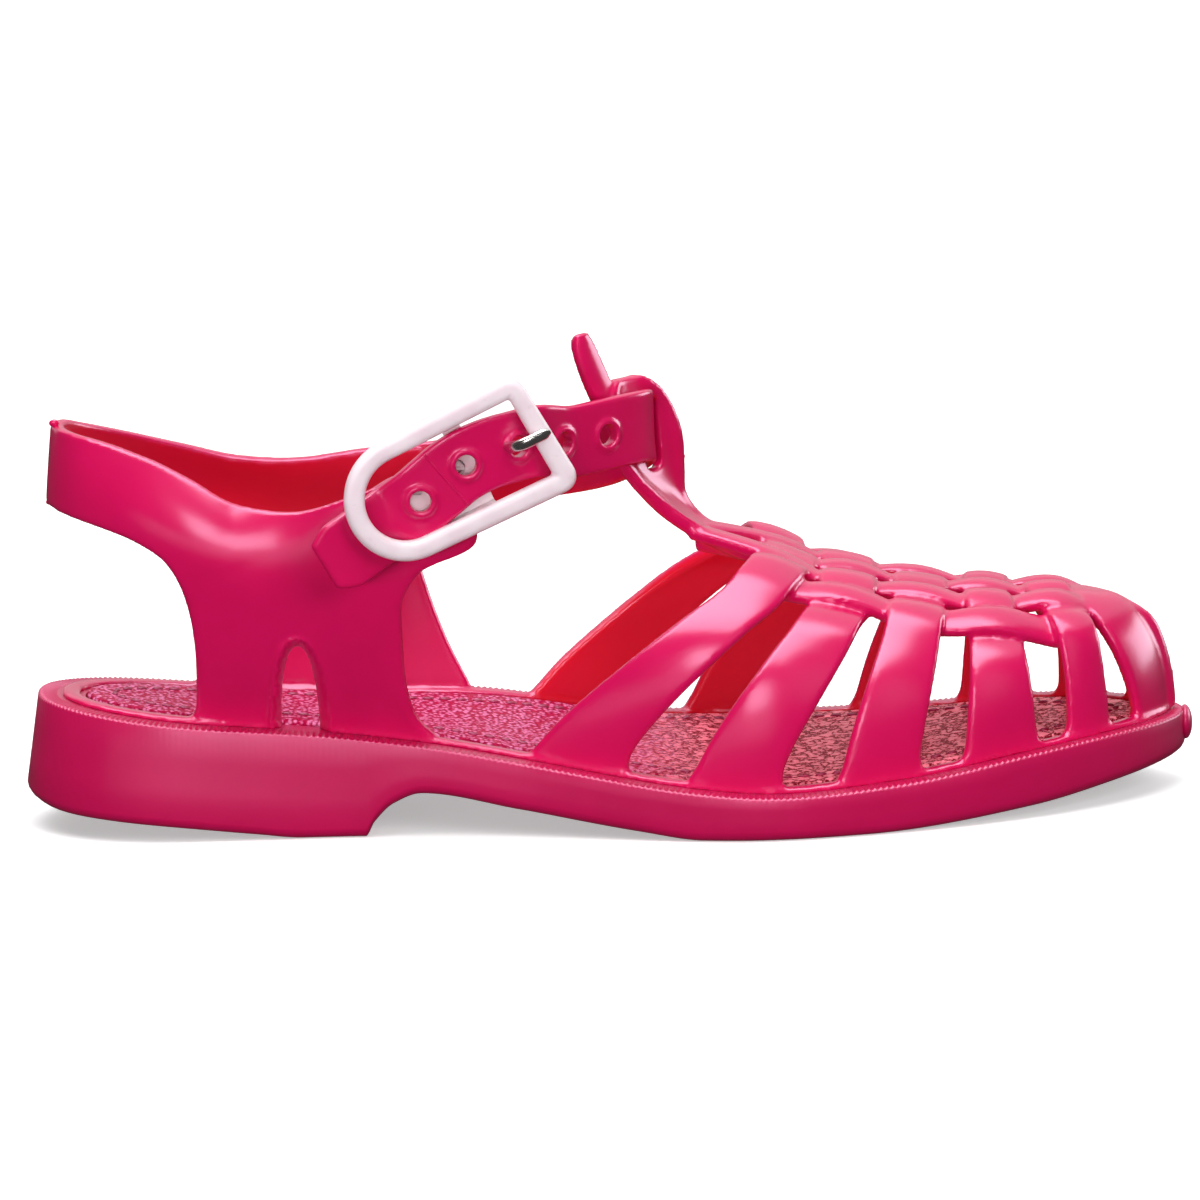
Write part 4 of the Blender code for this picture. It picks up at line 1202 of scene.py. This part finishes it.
# %% [markdown]
# ## Ankle strap
# The strap grows out of the inner quarter, passes through the T-bar's slot, under the front bar of the
# buckle, over its plate and under the round end, and its tail lies along the outer quarter. Round holes
# with a thin raised ring run along it, and a fine moulded line crosses it. A straight strap could be bent
# by a curve modifier, but a grid along one smooth path keeps its place to a fraction of a millimetre where
# it weaves in and out.

# %% Strap path
STRAP_HALF = 5.65
STRAP_THICK = 1.8
BUCKLE_AT = np.array((67.4, -26.3, 57.1))
BUCKLE_ALONG = np.array((0.903, 0.2, 0.376))
STRAP_INNER = columns("x y z", [
    (56.0, 22.6, 47.5), (60.0, 22.3, 47.9), (64.0, 21.9, 48.3), (70.0, 20.9, 49.1), (78.0, 18.9, 50.3),
    (86.0, 15.2, 51.8), (91.4, 10.9, 53.6), (95.3, 6.0, 56.0), (97.8, 1.6, 58.3), (98.6, -1.6, 59.6),
    (97.8, -5.0, 60.2), (94.6, -8.6, 60.3), (90.1, -12.2, 60.1), (86.0, -15.3, 60.0),
])
STRAP_OUTER = columns("along up out", [
    (15.8, -2.0, -3.2), (13.4, -1.2, -2.75), (11.6, -0.7, -2.1), (9.0, 0.0, -1.4), (6.0, 0.4, -1.1),
    (2.0, 0.2, -1.2), (-2.0, -0.9, -1.6), (-6.0, -2.1, -2.0), (-8.0, -2.6, -2.4), (-10.4, -3.1, -3.0),
    (-13.0, -3.5, -3.1), (-16.0, -3.9, -2.9), (-19.5, -4.4, -2.7), (-22.8, -4.8, -2.9),
])
ANKLE_ROWS = 150
ANKLE_STEPS = 1000
ANKLE_COLUMNS = (-1, -0.9, -0.5, 0, 0.5, 0.9, 1)


def buckle_axes():
    along = unit(BUCKLE_ALONG)
    out = unit(np.array((along[1], -along[0], 0)))
    return along, np.cross(out, along), out


def at_buckle(along, up, out):
    e_along, e_up, e_out = buckle_axes()
    return BUCKLE_AT + e_along * along + e_up * up + e_out * out


def strap_path(count):
    outer = [at_buckle(*place) for place in rows_of(STRAP_OUTER)]
    return spline(np.vstack([rows_of(STRAP_INNER), outer]), count)


def strap_frames(path):
    frames = []
    for along in np.gradient(path, axis=0):
        out = unit(np.array((-along[1], along[0], 0)))
        frames.append((unit(along), np.cross(unit(along), out), out))
    return frames


def strap_spot(from_tip):
    """Place on the middle of the strap and its directions, this far from the end of the tail."""
    path = strap_path(ANKLE_STEPS)
    step = np.linalg.norm(path[1] - path[0])
    i = len(path) - 1 - int(round(from_tip / step))
    return path[i], *strap_frames(path)[i]


print("strap", round(run_along(strap_path(ANKLE_STEPS))[-1], 1), "mm along its middle")

# %% Strap with holes
TAIL_CORNER = 3.2
TAIL_TAPER = 0.55
STRAP_VOXEL = 0.3
STRAP_HOLES = {"count": 5, "first": 18.2, "pitch": 8.85, "radius": 1.65, "depth": 3.0}
HOLE_RING = {"outside": 0.45, "radius": 0.5}
STRAP_LINE = {"from_tip": 23.3, "radius": 0.28, "sunk": 0.16, "shorter": 0.5, "round": 0.12}


def aim(piece, centre, axis):
    """Turns a piece's z to an axis and settles it at a place."""
    x, y, z = axis
    piece.rotation_euler = (math.acos(max(-1, min(1, z))), 0, math.atan2(x, -y))
    settle(piece, centre)


def round_bar(name, centre, axis, radius, half_length, sides=28):
    deselect()
    bpy.ops.mesh.primitive_cylinder_add(vertices=sides, radius=radius * MM, depth=2 * half_length * MM)
    bar = named(name)
    aim(bar, centre, axis)
    return bar


def hole_ring(centre, axis, radius, thick):
    deselect()
    bpy.ops.mesh.primitive_torus_add(major_radius=radius * MM, minor_radius=thick * MM, major_segments=36,
                                     minor_segments=10)
    ring = named("hole_ring")
    aim(ring, centre, axis)
    return ring


def ankle_strap():
    path = strap_path(ANKLE_ROWS)
    step = np.linalg.norm(path[1] - path[0])
    grid = []
    for i, (p, (along, up, out)) in enumerate(zip(path, strap_frames(path))):
        to_tip = step * (len(path) - 1 - i)
        half = STRAP_HALF - TAIL_TAPER * max(0.0, TAIL_CORNER - to_tip)
        grid.append([p + up * half * k for k in ANKLE_COLUMNS])
    strap = surface("ankle_strap", grid)
    thicken(strap, STRAP_THICK, 0.0, 1)
    rings = []
    hole, ring = STRAP_HOLES, HOLE_RING
    for number in range(hole["count"]):
        centre, along, up, out = strap_spot(hole["first"] + hole["pitch"] * number)
        cut(strap, round_bar("hole", centre, out, hole["radius"], hole["depth"]))
        face = centre + out * 0.5 * STRAP_THICK
        rings.append(hole_ring(face, out, hole["radius"] + ring["outside"], ring["radius"]))
    return [strap] + rings


def strap_line():
    line = STRAP_LINE
    centre, along, up, out = strap_spot(line["from_tip"])
    at = centre + out * (0.5 * STRAP_THICK - line["sunk"])
    bar = round_bar("strap_line", at, up, line["radius"], STRAP_HALF - line["shorter"], 12)
    modify(bar, "BEVEL", width=line["round"] * MM, segments=2)
    return bar


seat(fuse(ankle_strap(), "ankle_strap", voxel=STRAP_VOXEL), upper_vinyl, "upper", "upper")
seat(strap_line(), upper_vinyl, "upper")

# %% [markdown]
# ## Buckle
# The D frame is a bar with a rounded section, swept round a straight front and a round rear end. A curve
# with a bevel could do it, but a grid lets the frame widen and slant towards its front while its section
# stays the same. A plate under the strap ties its two sides together, and two rivets hold the plate to the
# quarter's tab.

# %% D frame
FRAME_HALF_LENGTH = 17.6
FRAME_HALF_WIDTH = 9.85
FRAME_BAR = 3.2
FRAME_HALF_THICK = 1.3
FRAME_CORNER = 3.0
FRAME_ROUND = 1.15
FRAME_SLANT = 0.13
FRAME_FLARE = 0.05
REAR_SHORTER = 0.8
LEAST_CORNER = 0.6
CORNER_STEPS = 13
REAR_STEPS = 49
SECTION_STEPS = 7
ANCHOR_PLATE = {"rear": -6.6, "front": 5.6, "half": 8.5, "upper": 2.4, "low": -3.7, "high": -2.8,
                "lug": -1.0, "lug_rear": 2.6, "lug_raise": 0.2, "arm_overlap": 1.0, "round": 0.25}


def frame_outline(inset):
    corner = max(LEAST_CORNER, FRAME_CORNER - inset)
    front = FRAME_HALF_LENGTH - inset - corner
    side = FRAME_HALF_WIDTH - inset
    rear = FRAME_HALF_WIDTH - FRAME_HALF_LENGTH + REAR_SHORTER
    points = []
    for sign in (-1, 1):
        for a in np.radians(np.linspace(0, 90, CORNER_STEPS)[::sign]):
            points.append((front + corner * math.cos(a), sign * (side - corner + corner * math.sin(a))))
    turns = np.linspace(0, math.pi, REAR_STEPS)
    points += [(rear - side * math.sin(a), side * math.cos(a)) for a in turns]
    forward = lambda a: max(0.0, a / FRAME_HALF_LENGTH)
    points = [(a - FRAME_SLANT * u * forward(a), u * (1 + FRAME_FLARE * forward(a))) for a, u in points]
    return points + points[:1]


def bar_section():
    """Rounded section of the bar: how far inside the outer edge, and how far out."""
    r, thick = FRAME_ROUND, FRAME_HALF_THICK
    section = []
    corners = ((FRAME_BAR - r, thick - r), (r, thick - r), (r, r - thick), (FRAME_BAR - r, r - thick))
    for (inset, out), start in zip(corners, (0, 90, 180, 270)):
        for a in np.radians(start + np.linspace(0, 90, SECTION_STEPS)):
            section.append((inset + r * math.cos(a), out + r * math.sin(a)))
    return section + section[:1]


def buckle_box(name, along, up, out):
    """A box between two places along, up and out of the buckle, with rounded edges."""
    deselect()
    bpy.ops.mesh.primitive_cube_add(size=2)
    box = named(name)
    low = np.array((along[0], up[0], out[0]))
    high = np.array((along[1], up[1], out[1]))
    for vertex in box.data.vertices:
        vertex.co = to_frame(at_buckle(*(0.5 * (low + high) + 0.5 * (high - low) * np.array(vertex.co))))
    modify(box, "BEVEL", width=ANCHOR_PLATE["round"] * MM, segments=3)
    face_out(box)
    return box


def buckle_frame():
    rows = [[at_buckle(a, u, out) for a, u in frame_outline(inset)] for inset, out in bar_section()]
    bar = surface("buckle_bar", rows)
    face_out(bar)
    plate, inner = ANCHOR_PLATE, FRAME_HALF_WIDTH - FRAME_BAR + GAP
    reach = (plate["rear"], plate["front"])
    deep = (plate["low"], plate["high"])
    upper = (plate["lug_rear"], plate["front"])
    parts = [bar, buckle_box("plate", reach, (-plate["half"], plate["upper"]), deep),
             buckle_box("arm", upper, (plate["upper"] - plate["arm_overlap"], plate["half"]), deep)]
    stand = (plate["low"] + plate["lug_raise"], plate["lug"])
    for run, low, high in ((reach, -plate["half"], -inner), (upper, inner, plate["half"])):
        parts.append(buckle_box("lug", run, (low, high), stand))
    piece = join(parts, "buckle_d")
    seat(piece, milky, "buckle_frame", "buckle_frame")


buckle_frame()

# %% [markdown]
# The prong is a bent metal bar. It turns on a cross pin in front of the plate, comes up through the third
# hole and rests on the front bar. A straight bar could be bent, but that would pinch its section, so an
# oval is swept along a smooth path. The rivets are the CAD nodes themselves: only their shiny faces show
# through the holes.

# %% Prong and rivets
PRONG_HALF_WIDTH = 0.95
PRONG_HALF_THICK = 0.6
PRONG_PIN_HALF = 3.0
PRONG_TIP = 0.35
PRONG_TIP_STEP = 0.25
PRONG_ROWS = 40
PRONG_SIDES = 16
PRONG_SHARP_EDGE = math.radians(40)
PRONG = columns("along out", [
    (6.55, -3.1), (8.2, -3.5), (9.3, -3.3), (9.9, -2.4), (10.3, -1.2), (10.9, 0.4), (11.9, 1.6),
    (13.4, 2.2), (17.2, 2.3),
])


def prong():
    up = buckle_axes()[1]
    path = spline([at_buckle(along, 0, out) for along, out in rows_of(PRONG)], PRONG_ROWS)
    axes = []
    for i, way in enumerate(np.gradient(path, axis=0)):
        taper = min(1.0, PRONG_TIP + PRONG_TIP_STEP * (len(path) - 1 - i))
        axes.append((taper * PRONG_HALF_WIDTH * up, taper * PRONG_HALF_THICK * np.cross(up, unit(way))))
    bar = swept_bar("prong_bar", path, axes, PRONG_SIDES)
    pin = round_bar("prong_pin", path[0], up, PRONG_HALF_THICK, PRONG_PIN_HALF, PRONG_SIDES)
    piece = join([bar, pin], "buckle_tongue")
    bpy.ops.object.shade_smooth_by_angle(angle=PRONG_SHARP_EDGE)
    seat(piece, plated, "buckle_metal", "buckle_prong")


prong()
for name in ("rivet_rear", "rivet_front"):
    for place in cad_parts[name].material_slots:
        place.material = plated
        print(name, "plated")

# %% [markdown]
# ## Marks of the mould
# A moulded piece keeps small traces of its tool: the round gate stub at the toe tip, and two little flash
# nubs at the back of the heel band where the halves of the mould met. They could be sculpted into their
# pieces, but a pressed ball that sits half in the wall looks the same and stays easy to move.

# %% Gate stub and flash
GATE = {"at": (180.6, 0.0, 9.4), "size": (1.1, 2.6, 2.7)}
FLASH = (((6.5, 0.0, 63.0), (0.8, 0.4, 0.6)), ((5.2, 0.0, 50.6), (0.5, 0.3, 0.45)))


def nub(name, at, size):
    deselect()
    bpy.ops.mesh.primitive_uv_sphere_add(segments=24, ring_count=14, radius=1)
    piece = named(name)
    bpy.ops.transform.resize(value=tuple(s * MM for s in size))
    settle(piece, at)
    bpy.ops.object.shade_smooth()
    return piece


seat(nub("toe_gate", GATE["at"], GATE["size"]), sole_painted_shade_vinyl, "outsole")
seat(join([nub("flash", at, size) for at, size in FLASH], "heel_flash"), upper_vinyl, "upper")

# %% [markdown]
# ## Stage, light and camera
# The sandal stands on a plain pale floor. It glows a little and is hidden from the sandal's own rays, so
# that it stays white and leaves the vinyl's colour alone. One lamp could light it all, but it would give
# either the even colour of the picture or its highlights. So large soft lights overhead and behind carry
# the colour, lights that are hidden from diffuse rays draw the highlights, and lights that are hidden from
# glossy rays lift the shaded side. The camera looks at the outer side from a little above, through a long
# lens, and is rolled a touch, as in the photograph.

# %% Floor
FLOOR_SIZE = 8.0
FLOOR_GLOW = 0.4


def build_floor():
    deselect()
    bpy.ops.mesh.primitive_plane_add(size=FLOOR_SIZE)
    floor = named("floor")
    floor.data.materials.append(finish_of(
        "pale_floor", Base_Color=rgb(0.93, 0.93, 0.93), Roughness=0.9, Specular_IOR_Level=0.1,
        Emission_Color=rgb(1, 1, 1), Emission_Strength=FLOOR_GLOW)[0])
    floor.visible_glossy = floor.visible_diffuse = False


build_floor()
print("floor:", FLOOR_SIZE, "m wide")

# %% Lights
TARGET = np.array((90.14, 0.0, 31.97))
LIGHTS = {
    "overhead": {"at": (0.0, 0.7, 1.6), "size": (3.4, 3.0), "power": 34.0},
    "key": {"at": (-0.1, -0.2, 1.0), "size": (1.1, 0.75), "power": 7.2},
    "sheen": {"at": (-0.1, -0.15, 1.01), "size": (1.3, 0.95), "power": 11.5, "hidden": "diffuse"},
    "backdrop": {"at": (0.0, 1.9, 0.5), "size": (3.4, 1.0), "power": 7.0},
    "front_left": {"at": (-0.16, -1.3, 0.54), "size": (0.44, 0.44), "power": 3.6, "hidden": "diffuse"},
    "right_side": {"at": (1.3, 0.6, 0.36), "size": (0.85, 0.55), "power": 8.5, "hidden": "diffuse"},
    "front_fill": {"at": (0.95, -1.35, 0.85), "size": (0.9, 0.9), "power": 13.0, "hidden": "glossy"},
    "low_fill": {"at": (-0.5, -1.4, 0.11), "size": (1.5, 0.22), "power": 15.0, "hidden": "glossy"},
}
WORLD_LIGHT = 0.05


def look_at(from_place, to_place):
    return (Vector(to_place) - Vector(from_place)).to_track_quat("-Z", "Y").to_euler()


def build_lights():
    target = tuple(to_frame(TARGET))
    for name, light in LIGHTS.items():
        bpy.ops.object.light_add(type="AREA", location=light["at"], rotation=look_at(light["at"], target))
        lamp = bpy.context.object
        lamp.name = name
        lamp.data.shape = "RECTANGLE"
        lamp.data.size, lamp.data.size_y = light["size"]
        lamp.data.energy = light["power"]
        lamp.visible_diffuse = light.get("hidden") != "diffuse"
        lamp.visible_glossy = light.get("hidden") != "glossy"
    world = bpy.data.worlds.new("studio")
    world.use_nodes = True
    background = world.node_tree.nodes["Background"]
    background.inputs["Strength"].default_value = WORLD_LIGHT
    background.inputs["Color"].default_value = rgb(1, 1, 1)
    bpy.context.scene.world = world
    bpy.context.scene.view_settings.view_transform = "Standard"


build_lights()
print("lights:", ", ".join(LIGHTS))

# %% Camera
ELEVATION = math.radians(11.2)
CAMERA_ROLL = math.radians(2.05)
DISTANCE = 2.2
PIXELS_PER_MM = 6.43
IMAGE_PIXELS = 1200
SENSOR = 36.0
VIEW_END = 50.0


def build_camera():
    bpy.ops.object.camera_add()
    camera = bpy.context.object
    right, up = np.array((1.0, 0, 0)), np.array((0, math.sin(ELEVATION), math.cos(ELEVATION)))
    back = np.array((0, -math.cos(ELEVATION), math.sin(ELEVATION)))
    rolled_right = math.cos(CAMERA_ROLL) * right - math.sin(CAMERA_ROLL) * up
    rolled_up = math.sin(CAMERA_ROLL) * right + math.cos(CAMERA_ROLL) * up
    place = to_frame(TARGET) + back * DISTANCE
    turn = np.column_stack([rolled_right, rolled_up, back, place])
    camera.matrix_world = Matrix(np.vstack([turn, (0, 0, 0, 1)]).tolist())
    camera.data.sensor_width = SENSOR
    camera.data.lens = SENSOR * DISTANCE / (IMAGE_PIXELS / PIXELS_PER_MM * MM)
    camera.data.clip_end = VIEW_END
    bpy.context.scene.camera = camera
    print("camera lens", round(camera.data.lens), "mm")


build_camera()
